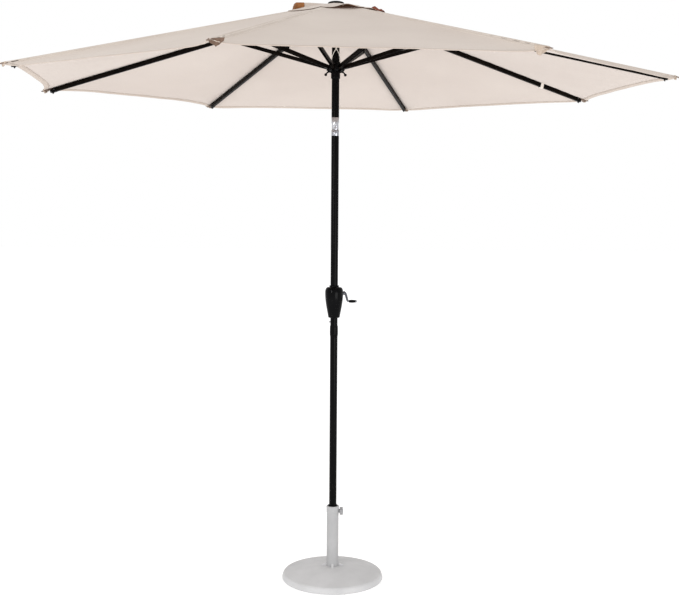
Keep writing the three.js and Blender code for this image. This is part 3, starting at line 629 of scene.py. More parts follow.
def make_hem(i):
    """The hem's fold: a second layer under the panel's edge, turned up round it."""
    depth = HEM_WIDTH / (hem_x(i, 0) - VENT_RADIUS)
    above = [(1 - depth, 0.5), (1 - 0.5 * depth, 0.9), (1.0, 0.9), (1.0016, 0.3)]
    below = [(1.0016, -0.7), (1.0, -1.2), (1 - 0.5 * depth, -1.2), (1 - depth, -1.0)]
    steps = above + below

    def place(s, t):
        u, lift = steps[round(s * (len(steps) - 1))]
        return cloth_point(i, u, 2 * t - 1, lift)

    hem = shape_object(f"canopy_hem_{i + 1}", [grid(len(steps) - 1, 60, place)], CLOTH_HEM_SHADED, SMOOTH)
    return thicken(hem, 0.5)


def seam_point(i, along, across, lift):
    """A point near the seam over rib i: along is its plan radius, across its distance to one side."""
    side = 1 if across >= 0 else -1
    panel = (i if side > 0 else i - 1) % RIBS
    x = along * math.cos(HALF) + abs(across) * math.sin(HALF)
    y = side * (abs(across) * math.cos(HALF) - along * math.sin(HALF))
    v = max(-1.0, min(1.0, y / (x * math.tan(HALF))))
    u = (x - VENT_FLAT) / (hem_x(panel, v) - VENT_FLAT)
    z = seam_z(x / math.cos(HALF)) - sag(panel, u, v) + wrinkle(panel, x, y, v) + lift
    return spun(azimuth(i) + side * HALF, x, y, z), (along * MM, across * MM)


def make_corner_pocket(i, drop, shift, look):
    """The corner's doubled cloth, gathered and hanging a little outside the rib's end."""
    corner = CANOPY_RADIUS - 4

    def place(s, t):
        off = 2 * t - 1
        across = POCKET_HALF * (1 - 0.15 * s) * off + shift
        fold = 3.2 * math.sin(9 * off + 2.2 * s + i) * s + 1.5 * noise.noise(Vector((3 * off, 2 * s, i)))
        r = corner - abs(across) * 0.38 - 5 * s * (1 - off * off) + fold
        depth = drop * s * (0.7 + 0.3 * math.cos(2.6 * off + 0.6 * (i % 3)))
        z = seam_z(r) - depth + 1.0
        return spun(azimuth(i), r, across, z), (depth * MM, across * MM)

    pocket = shape_object(f"corner_pocket_{i + 1}", [grid(10, 32, place)], look, SMOOTH)
    thicken(pocket, 1.4)
    mount(pocket, f"rib_{i + 1}", "canopy_cloth")
    gather(pocket)
    return pocket


def make_tapes():
    """The felled seam over each rib: a raised double layer with two rows of stitches."""
    steps = [-1, -0.94, -0.5, -0.12, 0, 0.12, 0.5, 0.94, 1]
    lifts = [0.5, 1.0, 1.1, 1.4, 1.5, 1.4, 1.1, 1.0, 0.5]
    start, end = TAPE_TOP_START, CANOPY_RADIUS - 3

    def place_on(i):
        def place(s, t):
            k = round(t * (len(steps) - 1))
            r = start + (end - start) * s
            half = TAPE_HALF * min(1, 0.25 + (CANOPY_RADIUS - r) / 24)
            return seam_point(i, r, steps[k] * half, lifts[k])

        return place

    for i, (drop, shift, in_shadow) in enumerate(POCKETS):
        shape = grid(180, len(steps) - 1, place_on(i))
        tape = shape_object(f"seam_tape_{i + 1}", [shape], TAPE, SMOOTH)
        thicken(tape, 0.6)
        mount(tape, f"rib_{i + 1}", "canopy_cloth")
        # A pocket in shadow takes the dark webbing colour as painted shadow; the others take the gathered
        # cloth's painted shade.
        make_corner_pocket(i, drop, shift, WEBBING_AND_SHADOW if in_shadow else CLOTH_FOLD_SHADED)


# ---- vent cap --------------------------------------------------------------------------------------
CAP_TOP_Z = box_mm("vent_cap")[1].z
CAP_RADIUS = 222
CAP_SLOPE = 0.2135
CAP_FLAT = 30  # radius of its level middle
CAP_DISC = 38
CAP_DROP = 5.5  # how far the cap's corners hang below its cone, on to the canopy
CAP_SINK = 4.0  # and how much further the middle of each edge does
# azimuth, radius, rise and reach of the places where the wind has left the cap standing up
CAP_LIFTS = ((-78, 208, 17, 44), (-44, 208, 10, 38), (100, 190, 8, 60))
PLEAT_AZIMUTH = azimuth(7)
PLEAT_START, PLEAT_END, PLEAT_HEIGHT, PLEAT_HALF = 40, 165, 19, 12


def cap_edge(a):
    """Plan radius of the cap's eight-sided edge in direction a (radians)."""
    step = 2 * HALF
    local = (a - azimuth(0)) % step - HALF
    return CAP_RADIUS * math.cos(HALF) / math.cos(local)


def pleat(x, y):
    """Height of the standing fold that runs out from the finial over one rib, up to its open end."""
    c, d = math.cos(PLEAT_AZIMUTH), math.sin(PLEAT_AZIMUTH)
    along, across = x * c + y * d, y * c - x * d
    grow = min(1, max(0, (along - PLEAT_START) / 120)) * min(1, max(0, (PLEAT_END - along) / 8))
    half = 3 + (PLEAT_HALF - 3) * grow
    return PLEAT_HEIGHT * grow * math.exp(-((across / half) ** 4) * 1.5) if grow else 0.0


def cap_point(share, a, lift=0.0):
    """A point of the cap: share runs from its middle (0) to its edge (1)."""
    r = cap_edge(a) * share
    x, y = r * math.cos(a), r * math.sin(a)
    grow = min(1, max(0, share - 0.2) / 0.5)
    hang = max(0, share - 0.55) / 0.45
    off = ((a - azimuth(0)) % (2 * HALF) - HALF) / HALF
    z = CAP_TOP_Z - max(0.0, CAP_RADIUS * share - CAP_FLAT) * CAP_SLOPE + lift
    z -= (CAP_DROP + CAP_SINK * (1 - off * off)) * hang**2
    for c, fold_r, height, reach in CAP_LIFTS:
        c = math.radians(c)
        d = math.hypot(x - fold_r * math.cos(c), y - fold_r * math.sin(c))
        z += grow * height * math.exp(-((d / reach) ** 2))
    z += grow * 1.3 * (noise.noise(Vector((x / 42, y / 42, 2.0))) + 0.5)
    z += grow * 0.7 * (noise.noise(Vector((x / 17, y / 17, 9.0))) + 0.5)
    return Vector((x, y, z + pleat(x, y))), (x * MM, y * MM)


def make_pleat_end():
    """The open end of the standing fold, turned back so that its underside shows, painted brown as shade
    with a faint glow, and a blank tag.
    """
    c, d = math.cos(PLEAT_AZIMUTH), math.sin(PLEAT_AZIMUTH)

    def place(s, t):
        along = 154 + 43 * s
        off = 2 * t - 1
        across = (PLEAT_HALF + 1.5) * off
        x, y = along * c - across * d, along * d + across * c
        rise = (PLEAT_HEIGHT + 3 + 6 * s) * math.sqrt(max(0, 1 - off**4)) * (1 - s**12)
        z = CAP_TOP_Z - (along - CAP_FLAT) * CAP_SLOPE - 3 + rise
        z += 0.8 * noise.noise(Vector((along / 9, across / 5, 3)))
        return Vector((x, y, z)), (along * MM, across * MM)

    fold = shape_object("vent_cap_fold", [grid(16, 28, place)], CLOTH_SHADE, SMOOTH)
    thicken(fold, CLOTH_THICK, CLOTH_SHADE)
    turn = Matrix.Translation((0, 0, seam_z(224) + 6)) @ Matrix.Rotation(math.radians(187), 4, "Z")
    tag = shape_object("vent_cap_tag", [moved(slab(214, 231, -6, 6, 0, 1.6), turn)], WEBBING_AND_SHADOW)
    return [fold, soften(tag, 0.5)]


def make_crumple():
    """A torn, crumpled flap of the cap cloth, painted dark brown as shade with a faint glow, which stands
    up at the vent's edge over one rib.
    """
    a = azimuth(2)

    def place(s, t):
        along = 146 + 60 * s
        across = 26 * (t - 0.5)
        ridge = math.exp(-(((s - 0.34) / 0.26) ** 2)) + 0.55 * math.exp(-(((s - 0.82) / 0.16) ** 2))
        rough = noise.noise(Vector((along / 7, across / 5, 1)))
        rise = 15 * ridge * math.sin(math.pi * t) ** 0.6 + 2.5 * rough
        z = CAP_TOP_Z - (along - CAP_FLAT) * CAP_SLOPE - 1.5 + max(0, rise)
        return spun(a, along, across, z), (along * MM, across * MM)

    flap = shape_object("vent_cap_crumple", [grid(30, 18, place)], CLOTH_CRUMPLE_SHADE, SMOOTH)
    return [thicken(flap, CLOTH_THICK, CLOTH_CRUMPLE_SHADE)]


CAP_TRIMS = {7: make_pleat_end, 2: make_crumple}


def make_cap():
    inner = CAP_DISC / CAP_RADIUS

    def disc_place(s, t):
        return cap_point(0.02 + (inner + 0.01) * s, math.tau * t, 0.4)

    disc = shape_object("vent_cap_middle", [grid(6, 96, disc_place)], CLOTH_TOP, SMOOTH)
    thicken(disc, CLOTH_THICK, CLOTH_SHADE)
    mount(disc, "top", "canopy_cloth", "vent_cap")
    for i in range(RIBS):
        a = azimuth(i)

        def place(s, t):
            off = 2 * t - 1
            return cap_point(inner + (1 - inner) * s, a + HALF * off * abs(off) ** 0.4)

        sector = shape_object(f"vent_cap_cloth_{i + 1}", [grid(48, 44, place)], CLOTH_TOP, SMOOTH)
        thicken(sector, CLOTH_THICK, CLOTH_SHADE)
        trims = CAP_TRIMS[i]() if i in CAP_TRIMS else []
        for piece in (sector, *trims):
            mount(piece, f"rib_{i + 1}", "canopy_cloth")
            gather(piece)


# ---- ribs, stretchers and tips ---------------------------------------------------------------------
BRACKET_ALONG, BRACKET_DROP = 439.5, 20
LINK = math.hypot(BRACKET_ALONG, BRACKET_DROP)
STRETCHER_WIDTH, STRETCHER_HEIGHT = 12, 16
TIE_RIB, TIE_ALONG = 3, 1096


def rib_frame(i):
    place = Matrix.Translation(pivot_mm(f"rib_{i + 1}_fold"))
    return place @ Matrix.Rotation(azimuth(i), 4, "Z") @ Matrix.Rotation(DROOP, 4, "Y")


def stretcher_frame(i):
    angle = DROOP + math.atan(BRACKET_DROP / BRACKET_ALONG)
    place = Matrix.Translation(pivot_mm(f"stretcher_{i + 1}_fold"))
    return place @ Matrix.Rotation(azimuth(i), 4, "Z") @ Matrix.Rotation(math.pi - angle, 4, "Y")


def across_y(x, z, y0):
    """Puts a shape made about +Z so that it runs along +Y from y0."""
    return Matrix.Translation((x, y0, z)) @ Matrix.Rotation(-math.pi / 2, 4, "X")


def rivet(x, z, half, head=3.6, stem=2.3):
    """A rivet right through: a stem along Y with a domed head at each end."""
    dome = [(0, 0), (head, 0), (head, 0.5), (head * 0.8, 1.3), (head * 0.4, 1.8), (0, 1.9)]
    stem_shape = lathe([(0, -0.2), (stem, -0.2), (stem, 2 * half + 0.2), (0, 2 * half + 0.2)], 24)
    return [
        moved(stem_shape, across_y(x, z, -half)),
        moved(lathe(dome, 24), across_y(x, z, half)),
        moved(lathe(dome, 24), across_y(x, z, -half) @ Matrix.Rotation(math.pi, 4, "X")),
    ]


def bar_outline(x0, z0, x1, z1, half, steps=10):
    """A round-ended bar from one pin to another, as an outline in the XZ plane."""
    along = math.atan2(z1 - z0, x1 - x0)
    ends = ((x1, z1, along - math.pi / 2), (x0, z0, along + math.pi / 2))
    return [
        (x + half * math.cos(a + math.pi * k / steps), z + half * math.sin(a + math.pi * k / steps))
        for x, z, a in ends
        for k in range(steps + 1)
    ]


def plate_y(outline, y0, y1):
    """An XZ outline, extruded along Y."""
    turn = Matrix.Rotation(math.pi / 2, 4, "X")
    return prism(outline, -y1, -y0, turn)


def rib_shapes():
    w, h = RIB_WIDTH / 2, RIB_HEIGHT / 2
    wall = 1.6
    outer = [(-w, -h), (-w, h), (w, h), (w, -h), (2.6, -h), (1.8, 1.2 - h), (-1.8, 1.2 - h), (-2.6, -h)]
    tube = sweep([(25, 0, 0), (60, 0, 0), (RIB_END, 0, 0)], rounded(outer, 1.6, 2), up=(0, 0, 1))
    tongue = plate_y(bar_outline(0, 0, 30, 0, 6), -3, 3)
    cheek = bar_outline(BRACKET_ALONG, -BRACKET_DROP, BRACKET_ALONG, -4, 8)
    inner = STRETCHER_WIDTH / 2 + 0.4
    cheeks = [plate_y(cheek, inner, inner + wall), plate_y(cheek, -inner - wall, -inner)]
    strap = plate_y(bar_outline(BRACKET_ALONG - 14, 0, BRACKET_ALONG + 14, 0, 5), -w - 0.9, w + 0.9)
    return [tube, tongue, *cheeks, strap]


def rib_rivets():
    shapes = rivet(BRACKET_ALONG, -BRACKET_DROP, STRETCHER_WIDTH / 2 + 2)
    for x in (BRACKET_ALONG - 11, BRACKET_ALONG + 11):
        shapes += rivet(x, 0, RIB_WIDTH / 2 + 0.8, 2.6, 1.5)
    return shapes + rivet(RIB_END - 16, 2, RIB_WIDTH / 2 + 0.8, 2.4, 1.4)


def tip_shapes():
    """The plug in the rib's end: a shouldered cap, with a pointed peg under it and a wire at its side."""
    cap = sweep(
        [(RIB_END - 24, 0, 0), (RIB_END - 22, 0, 0), (RIB_END + 3, 0, 0), (RIB_END + 6, 0, 0)],
        rounded([(-7.4, -10.4), (-7.4, 10.2), (7.4, 10.2), (7.4, -10.4)], 3, 4),
        [0.94, 1, 1, 0.82],
    )
    peg = sweep(
        [(RIB_END - 6, 0, -8), (RIB_END - 5, 0, -11), (RIB_END - 4, 0, -14), (RIB_END - 3, 0, -16)],
        rounded([(-4.5, -5), (-4.5, 5), (4.5, 5), (4.5, -5)], 2.5, 4),
        [1.0, 0.8, 0.5, 0.25],
        up=(0, 1, 0),
    )
    wire_path = curve_through([(RIB_END - 12, 6, 4), (RIB_END + 2, 9, 3), (RIB_END + 10, 6, 5)])
    return [cap, peg, sweep(wire_path, circle(1.2, 12))]


def tip_strap_shapes():
    """The webbing that pulls the cloth's corner out, folded and sewn at the corner."""
    corner = (CANOPY_RADIUS - HUB_RADIUS) / math.cos(DROOP)
    knots = [(RIB_END - 10, 0, 6.5), (RIB_END + 10, 0, 6.8), (corner - 20, 0, 8.4)]
    knots += [(corner + 1, 0, 9.6), (corner + 4, 0, 8.2), (corner, 0, 7.2)]
    band = sweep(curve_through(knots, 6), rounded([(-9, -0.7), (-9, 0.7), (9, 0.7), (9, -0.7)], 0.6, 2))
    patch = rounded([(-11, -1.6), (-11, 1.6), (11, 1.6), (11, -1.6)], 1, 3)
    return [band, sweep([(corner - 26, 0, 7.6), (corner - 6, 0, 8.6)], patch)]


def make_tie(i):
    """A loop of white webbing sewn to the seam, round the rib."""
    outline = rounded([(-9.5, -13), (-9.5, 12.5), (9.5, 12.5), (9.5, -13)], 3, 4)
    inner = rounded([(-8.2, -11.7), (-8.2, 11.2), (8.2, 11.2), (8.2, -11.7)], 2.4, 4)
    count = len(outline)
    points = [(x, y, z) for x in (TIE_ALONG - 8, TIE_ALONG + 8) for y, z in outline + inner]
    faces = []
    far = 2 * count
    for k in range(count):
        n = (k + 1) % count
        faces.append([k, n, far + n, far + k])
        faces.append([count + k, far + count + k, far + count + n, count + n])
        faces.append([k, count + k, count + n, n])
        faces.append([far + k, far + n, far + count + n, far + count + k])
    loop = shape_object("rib_tie", [moved((points, faces, None), rib_frame(i))], WEBBING_LIGHT, 40)
    mount(loop, f"rib_{i + 1}", "canopy_cloth")


def stretcher_shapes():
    """A channel open at the top, rolled flat round the pins at both ends."""
    w, h = STRETCHER_WIDTH / 2, STRETCHER_HEIGHT / 2
    wall = 1.7
    right = [(w, -h), (w, h), (w - wall, h), (w - wall, wall - h)]
    left = [(wall - w, wall - h), (wall - w, h), (-w, h)]
    channel = sweep([(12, 0, 0), (LINK - 12, 0, 0)], rounded([(-w, -h), *right, *left], 0.8, 2))
    ends = [plate_y(bar_outline(x0, 0, x1, 0, h), -w, w) for x0, x1 in ((0, 18), (LINK - 18, LINK))]
    return [channel, *ends]


def make_ribs():
    parts = {
        "rib_tube": (rib_shapes(), RIB_STEEL_AND_REFLECTION, 0.5),
        "rib_rivets": (rib_rivets(), ZINC, 0),
        "rib_tip": (tip_shapes(), PLASTIC, 0),
        "tip_strap": (tip_strap_shapes(), WEBBING_AND_SHADOW, 0),
    }
    for i in range(RIBS):
        for name, (shapes, look, edge) in parts.items():
            piece = shape_object(f"{name}_{i + 1}", [moved(s, rib_frame(i)) for s in shapes], look)
            if edge:
                soften(piece, edge)
            slot = {"rib_tip": "black_plastic", "tip_strap": "canopy_cloth"}.get(name, "black_steel")
            mount(piece, f"rib_{i + 1}", slot, *([f"rib_{i + 1}"] if name == "rib_tube" else []))
        shapes = [moved(s, stretcher_frame(i)) for s in stretcher_shapes()]
        arm = shape_object(f"stretcher_arm_{i + 1}", shapes, RIB_STEEL_AND_REFLECTION)
        mount(soften(arm, 0.4), f"stretcher_{i + 1}", "black_steel", f"stretcher_{i + 1}")
    make_tie(TIE_RIB)


# ---- foot ------------------------------------------------------------------------------------------
FOOT_HUB_Z = 56
FOOT_BORE = 26
GUSSET_REACH, GUSSET_HALF = 70, 5


def make_casting():
    """The weighted foot: a dome with four fine rings near its rim, and four low gussets round the tube."""
    rim = box_mm("foot_plate")[1].x
    dome_r = rim - 10
    rings = ((rim - 22, 1.5), (rim - 31, 1.3), (rim - 40, 1.1), (rim - 49, 0.9))
    dome = []
    for k in range(41):
        share = k / 40
        r = dome_r - (dome_r - 30) * share
        z = 28 + (FOOT_HUB_Z - 28) * math.sin(math.pi / 2 * min(1, share * 1.05)) ** 1.25
        for ring, height in rings:
            z += height * math.exp(-(((r - ring) / 2.6) ** 2))
        dome.append((r, z))
    corners = [(FOOT_BORE, 0), (rim - 5, 0), (rim, 6), (rim - 4.5, 21), (rim - 7, 25), (dome_r + 2, 25.5)]
    skirt = rounded(corners, 3, 4)[5:]
    profile = [(FOOT_BORE, 0.6), (rim - 8, 0.6), *skirt, *dome, (FOOT_BORE, FOOT_HUB_Z)]
    shapes = [lathe(profile, 160)]
    for k in range(4):
        outline = [(24, FOOT_HUB_Z - 8), (GUSSET_REACH, FOOT_HUB_Z - 9)]
        for s in range(11):
            outline.append((GUSSET_REACH - 44 * s / 10, FOOT_HUB_Z - 4 + 17 * (s / 10) ** 1.7))
        turn = Matrix.Rotation(k * math.pi / 2, 4, "Z")
        shapes.append(moved(plate_y(outline, -GUSSET_HALF, GUSSET_HALF), turn))
    foot = shape_object("foot_casting", shapes, RESIN, 25)
    mount(soften(foot, 2.4, 3, 40), "base", "foot_cast", "foot_plate")


def make_foot_tube():
    """The foot's tube, with the bead round its base and its collar."""
    high = box_mm("foot_tube")[1]
    r, bore = high.x, 23.5
    tube = [(bore, 2), (r, 2), (r, high.z), (bore, high.z)]
    bead = [(r - 0.5, -1), (r + 2.6, -0.5), (r + 3, 1.4), (r + 1.6, 3.4), (r - 0.5, 4.2)]
    bead = [(x, FOOT_HUB_Z + z) for x, z in bead]
    post = shape_object("foot_post", [lathe(tube), lathe(rounded(bead, 1, 2))], RESIN_TUBE_SHADED)
    mount(post, "base", "foot_paint", "foot_tube")

    low, high = box_mm("foot_collar")
    r = high.x
    top, bottom = high.z, low.z
    ring = [(25.7, bottom), (r, bottom + 1.5), (r, top - 8), (r + 0.6, top - 6), (r + 0.6, top - 2)]
    ring += [(r - 1, top), (21, top), (21, top - 12), (25.7, top - 12)]
    collar = shape_object("foot_collar_ring", [lathe(rounded(ring, 1.2, 3))], RESIN_TUBE_SHADED)
    mount(collar, "base", "foot_paint", "foot_collar")


def make_clamp():
    """The clamp on the foot's tube: a six-sided boss and the lobed knob."""
    low, high = box_mm("knob_nut")
    z = (low.z + high.z) / 2
    nut = shape_object("knob_boss", [prism(circle(9, 6), 0, 4.2, along_x(low.x, 0, z))], RESIN_KNOB)
    mount(soften(nut, 0.8), "base", "foot_paint", "knob_nut")

    low, high = box_mm("base_knob")
    lobes, sides = 6, 96
    outline = []
    for k in range(sides):
        a = math.tau * k / sides
        r = 15.4 + 1.7 * math.cos(lobes * a)
        outline.append((r * math.cos(a), r * math.sin(a)))
    depth = high.x - low.x
    head = prism(outline, 0, depth, along_x(low.x, 0, z))
    face = [(0, depth - 0.4), (10, depth - 0.4), (9.4, depth + 0.9), (6, depth + 1.4), (0, depth + 1.5)]
    knob = shape_object("clamp_knob", [head, lathe_x(face, low.x, z)], RESIN_KNOB, 40)
    mount(soften(knob, 1.8, 3, 50), "knob", "foot_knob", "base_knob")


def make_sleeve():
    """The sleeve that brings the foot's bore down to the pole."""
    low, high = box_mm("reducer_sleeve")
    top = high.z
    liner = [(16.3, low.z), (20, low.z), (20, top - 4), (20.6, top - 3.4), (20.6, top - 1.2), (19.6, top)]
    liner += [(17.2, top), (16.3, top - 1)]
    sleeve = shape_object("sleeve_liner", [lathe(rounded(liner, 1, 3))], PLASTIC)
    mount(sleeve, "sleeve", "black_plastic", "reducer_sleeve")


# ---- poles and crank housing -----------------------------------------------------------------------
POLE_OUTER, POLE_INNER = 16, 14.6


def straight_tube(name, node, sides=96):
    low, high = box_mm(node)
    wall = [(POLE_INNER, low.z), (POLE_OUTER, low.z), (POLE_OUTER, high.z), (POLE_INNER, high.z)]
    return shape_object(name, [lathe(wall, sides)], STEEL)


def make_poles():
    low, high = box_mm("lower_pole")
    swage = high.x
    outer, inner = POLE_OUTER, POLE_INNER
    z0, z1 = low.z, high.z
    profile = [(inner, z0), (outer, z0), (outer, z1 - 52)]
    for k in range(9):
        t = k / 8
        profile.append((outer + (swage - outer) * (3 * t**2 - 2 * t**3), z1 - 50 + 14 * t))
    profile += [(swage, z1 - 12), (swage - 0.3, z1 - 5), (16.7, z1), (15.9, z1)]
    profile += [(15.9, z1 - 42), (inner, z1 - 50)]
    lower = shape_object("pole_lower_tube", [lathe(profile)], STEEL)
    mount(lower, "pole", "black_steel", "lower_pole")

    low, high = box_mm("pole_neck")
    r = high.x
    profile = [(12.9, low.z), (14.2, low.z), (14.2, low.z + 50), (r, low.z + 64), (r, high.z), (14, high.z)]
    neck = shape_object("pole_neck_tube", [lathe(profile + [(14, low.z + 66), (12.9, low.z + 52)])], STEEL)
    mount(neck, "pole", "black_steel", "pole_neck")

    mount(straight_tube("pole_upper_tube", "upper_pole"), "pole", "black_steel", "upper_pole")

    top = straight_tube("pole_top_tube", "top_pole", 72)
    low, high = box_mm("pulley")
    middle = (low + high) / 2
    cord_side = math.atan2(middle.y, middle.x)
    slot = moved(slab(-1, 22, -4.2, 4.2, middle.z - 14, middle.z + 12), Matrix.Rotation(cord_side, 4, "Z"))
    carve(top, [slot])
    mount(top, "top", "black_steel", "top_pole")


def make_housing():
    low, high = box_mm("housing_front")
    z0, z1 = low.z, high.z
    outer = [(16.2, z0), (23, z0), (24.6, z0 + 1.6)]
    for k in range(17):
        t = k / 16
        outer.append((24.8 + 14.0 * math.sin(math.pi / 2 * t) ** 1.1, z0 + 3 + 104 * t))
    for k in range(1, 13):
        a = math.pi / 2 * k / 12
        outer.append((20.2 + 18.6 * math.cos(a) ** 0.62, z0 + 107 + 24 * math.sin(a)))
    outer += [(20, z1 - 3), (19.6, z1 - 0.8), (18.8, z1), (16.4, z1)]
    inside = [(16.4, z1 - 14), (29, z1 - 17), (35, z1 - 32), (31, z0 + 69), (22, z0 + 29), (16.2, z0 + 29)]
    for name, start in (("front", 180), ("rear", 0)):
        half = lathe([*outer, *inside], 72, 179.4, start + 0.3)
        cup = shape_object(f"housing_cup_{name}", [half], PLASTIC, 28)
        mount(soften(cup, 0.5, 2, 60), "pole", "black_plastic", f"housing_{name}")
    lip = [(16.1, -1), (20.8, -1), (21.2, 0.6), (20.4, 2.4), (17.2, 2.8), (16.1, 2)]
    lip = rounded([(r, z1 + rise) for r, rise in lip], 0.6, 2)
    mount(shape_object("housing_lip", [lathe(lip)], PLASTIC), "pole", "black_plastic")


def make_crank():
    low, high = box_mm("crank_arm")
    shaft_low, shaft_high = box_mm("crank_shaft")
    axis_z = (shaft_low.z + shaft_high.z) / 2
    grip_low, grip_high = box_mm("crank_grip")
    grip_z = (grip_low.z + grip_high.z) / 2
    x0 = low.x
    boss = [(5.3, 0), (7.6, 0), (8.2, 1), (8.2, 5), (7.4, 7.4), (5, 9.2), (0, 9.6), (0, 2.6), (5.3, 2.6)]
    knots = [(x0 + 4, 0, axis_z), (x0 + 8, 0, axis_z - 1), (x0 + 11.6, 0, axis_z - 9)]
    knots += [(x0 + 16, 0, axis_z - 25), (x0 + 19, 0, grip_z + 2), (x0 + 23, 0, grip_z)]
    arm_path = curve_through(knots, 8)
    section = rounded([(-5, -2.6), (-5, 2.6), (5, 2.6), (5, -2.6)], 2.2, 4)
    count = len(arm_path)
    scales = [1.12 - 0.28 * k / (count - 1) for k in range(count)]
    pin = sweep([(x0 + 22, 0, grip_z), (high.x, 0, grip_z)], circle(3, 24))
    shapes = [lathe_x(boss, x0, axis_z), sweep(arm_path, section, scales, (0, 1, 0)), pin]
    mount(shape_object("crank_handle_arm", shapes, CHROME_DIM, 40), "crank", "chrome", "crank_arm")

    length = grip_high.x - grip_low.x
    profile = [(3.4, 0), (5.2, 0)]
    for k in range(25):
        t = k / 24
        swell = 5.7 + 0.9 * math.sin(math.pi * min(1, t * 1.1)) + 0.16 * math.cos(t * 16 * math.pi)
        profile.append((swell, 0.8 + (length - 1.6) * t))
    profile += [(5.0, length), (3.4, length)]
    grip = shape_object("crank_grip_sleeve", [lathe_x(profile, grip_low.x, grip_z)], PLASTIC)
    mount(grip, "grip", "black_plastic", "crank_grip")

    profile = [(0, 0.1), (5.2, 0.1), (5.6, 0.8), (5.6, 2.4), (4.6, 4), (2.6, 4.8), (0, 5)]
    cap_x = box_mm("grip_cap")[0].x
    cap = shape_object("crank_grip_cap", [lathe_x(profile, cap_x, grip_z)], CHROME_DIM)
    mount(cap, "crank", "chrome", "grip_cap")

    bushing = [(5.1, 0), (10.5, 0), (10.5, 1.6), (9.4, 2.6), (6.6, 2.9), (5.1, 2.4)]
    collar = shape_object("crank_bushing", [lathe_x(rounded(bushing, 0.5, 2), x0 - 3.2, axis_z)], CHROME)
    mount(collar, "pole", "chrome")


# ---- top: finial, runner, cords --------------------------------------------------------------------
def make_finial():
    low, high = box_mm("finial")
    z0, z1 = low.z, high.z
    radius = high.x
    profile = [(5.4, z0 + 4), (5.4, z0), (radius - 1.4, z0), (radius, z0 + 0.8), (radius, z0 + 2)]
    for k in range(1, 15):
        a = math.pi / 2 * k / 14
        profile.append((max(0, radius * math.cos(a)), z0 + 2 + (z1 - z0 - 2) * math.sin(a)))
    cap = shape_object("finial_cap", [lathe([*profile, (0, z0 + 4)])], PLASTIC)
    mount(cap, "top", "black_plastic", "finial")


def make_runner():
    low, high = box_mm("runner")
    pivot_z = low.z + 45
    bore = 16.9
    barrel = [(bore, low.z), (18.4, low.z), (19.4, low.z + 1.2), (19.4, low.z + 24)]
    barrel += [(19.4, high.z - 1.4), (18.2, high.z), (bore, high.z)]
    flange = [(18.5, -16), (33, -16), (38, -11), (38, 8), (35.5, 11), (18.5, 11)]
    flange = [(r, pivot_z + rise) for r, rise in flange]
    body = shape_object("runner_barrel", [lathe(rounded(barrel, 0.8, 2), 96)], PLASTIC)
    wheel = shape_object("runner_crown", [lathe(rounded(flange, 1.5, 3), 96)], PLASTIC)
    half = STRETCHER_WIDTH / 2 + 0.5
    slot = slab(20.6, 60, -half, half, pivot_z - 30, pivot_z + 30)
    carve(wheel, [moved(slot, Matrix.Rotation(azimuth(i), 4, "Z")) for i in range(RIBS)])
    mount(body, "runner", "black_plastic", "runner")
    mount(soften(wheel, 0.6), "runner", "black_plastic")
    knots = [(18.4, -18), (28, -17), (36, -21.5), (40.6, -28)]
    path = curve_through([(r, 0, pivot_z + rise) for r, rise in knots], 8)
    taper = [1.15 - 0.25 * n / (len(path) - 1) for n in range(len(path))]
    hook = [sweep(path, circle(3.1, 20), taper), ball(6.1, (41.2, 0, pivot_z - 29), 1.0, 28)]
    for k, side in enumerate((math.pi / 2, -math.pi / 2)):
        turn = Matrix.Rotation(azimuth(0) + side + HALF, 4, "Z")
        piece = shape_object(f"runner_hook_{k + 1}", [moved(s, turn) for s in hook], PLASTIC)
        mount(piece, "runner", "black_plastic")


CORD_RADIUS = 1.5


def cord_tube(name, path, node):
    piece = shape_object(name, [sweep(path, circle(CORD_RADIUS, 12))], CORD, 60)
    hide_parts(node)
    return piece


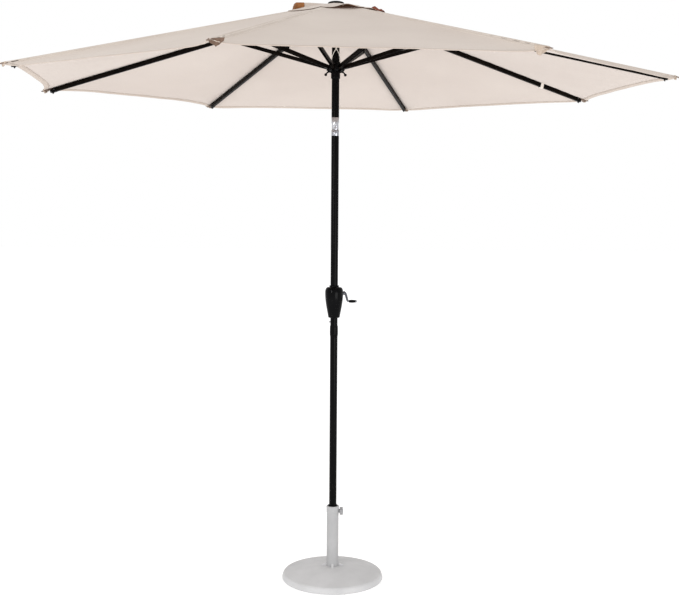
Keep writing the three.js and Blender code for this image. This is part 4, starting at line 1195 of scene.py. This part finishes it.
def make_cords():
    """The lift cord, from the spool up inside the poles, over the pulley and down outside to the runner."""
    low, high = box_mm("lift_cord_lower")
    rise = cord_tube("lift_cord_in_pole", [(0, 0, low.z), (0, 0, high.z)], "lift_cord_lower")
    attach(rise, "pole")

    pulley_low, pulley_high = box_mm("pulley")
    wheel = (pulley_low + pulley_high) / 2
    side = Vector((wheel.x, wheel.y, 0)).normalized()
    reach = math.hypot(wheel.x, wheel.y)
    groove = 10.6
    start_z = box_mm("lift_cord_upper")[0].z
    path = [(0, 0, start_z), (0, 0, wheel.z - 38), (0, 0, wheel.z - 30)]
    path.append(side * -1.6 + Vector((0, 0, wheel.z - 14)))
    for k in range(13):
        a = math.pi * (1 - k / 12)
        rim_z = wheel.z + groove * math.sin(a)
        path.append(side * (reach + groove * math.cos(a)) + Vector((0, 0, rim_z)))
    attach(cord_tube("lift_cord_over_pulley", path, "lift_cord_upper"), "top")

    outside = side * (reach + groove)
    apex_z = box_mm("lift_cord_drop")[0].z
    top_z = wheel.z - 0.6
    steps = 40
    drop_path = []
    for k in range(steps + 1):
        drop_path.append(outside + Vector((0, 0, top_z - (top_z - apex_z) * k / steps)))
    drop = cord_tube("lift_cord_outside", drop_path, "lift_cord_drop")
    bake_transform(drop)

    legs = []
    runner_top = box_mm("runner")[1].z
    start_angle = math.atan2(side.y, side.x)
    radius = outside.length
    leg_top = apex_z - 2.5
    for way in (-1, 1):
        leg = []
        for k in range(17):
            t = k / 16
            a = start_angle + way * math.radians(75) * math.sin(math.pi / 2 * t)
            leg_z = leg_top - (leg_top - runner_top + 6) * t
            leg.append((radius * math.cos(a), radius * math.sin(a), leg_z))
        legs.append(sweep(leg, circle(CORD_RADIUS, 12)))
    knot = ball(3.4, outside + Vector((0, 0, apex_z - 3)), 1.2)
    bridle = shape_object("runner_bridle", [*legs, knot], CORD, 60)
    mount(bridle, "runner", "cord", "cord_bridle")


# ---- CAD pieces that keep their own shape ----------------------------------------------------------
KEPT = {
    "knob_bolt": CHROME,
    "pole_foot_plug": PLASTIC,
    "snap_button": CHROME,
    "housing_screw": CHROME,
    "cord_spool": PLASTIC,
    "crank_shaft": CHROME,
    "tilt_lower_casting": CHROME,
    "tilt_upper_casting": CHROME,
    "tilt_pin_front": CHROME,
    "tilt_pin_rear": CHROME,
    "tilt_button": CHROME,
    "pulley": PLASTIC,
    "pulley_pin": CHROME,
    "hub": PLASTIC,
}


def finish_kept():
    """Gives the remaining CAD pieces their material, round shading and broken edges."""
    for name, look in KEPT.items():
        node = frame["nodes"][name]
        node.data.materials.clear()
        node.data.materials.append(look)
        node.data.shade_smooth()
        weld = node.modifiers.new("weld", "WELD")
        weld.merge_threshold = 1e-5
        soften(node, 0.35, 2, 35)


make_panels()
make_tapes()
make_cap()
make_ribs()
make_casting()
make_foot_tube()
make_clamp()
make_sleeve()
make_poles()
make_housing()
make_crank()
make_finial()
make_runner()
make_cords()
finish_kept()
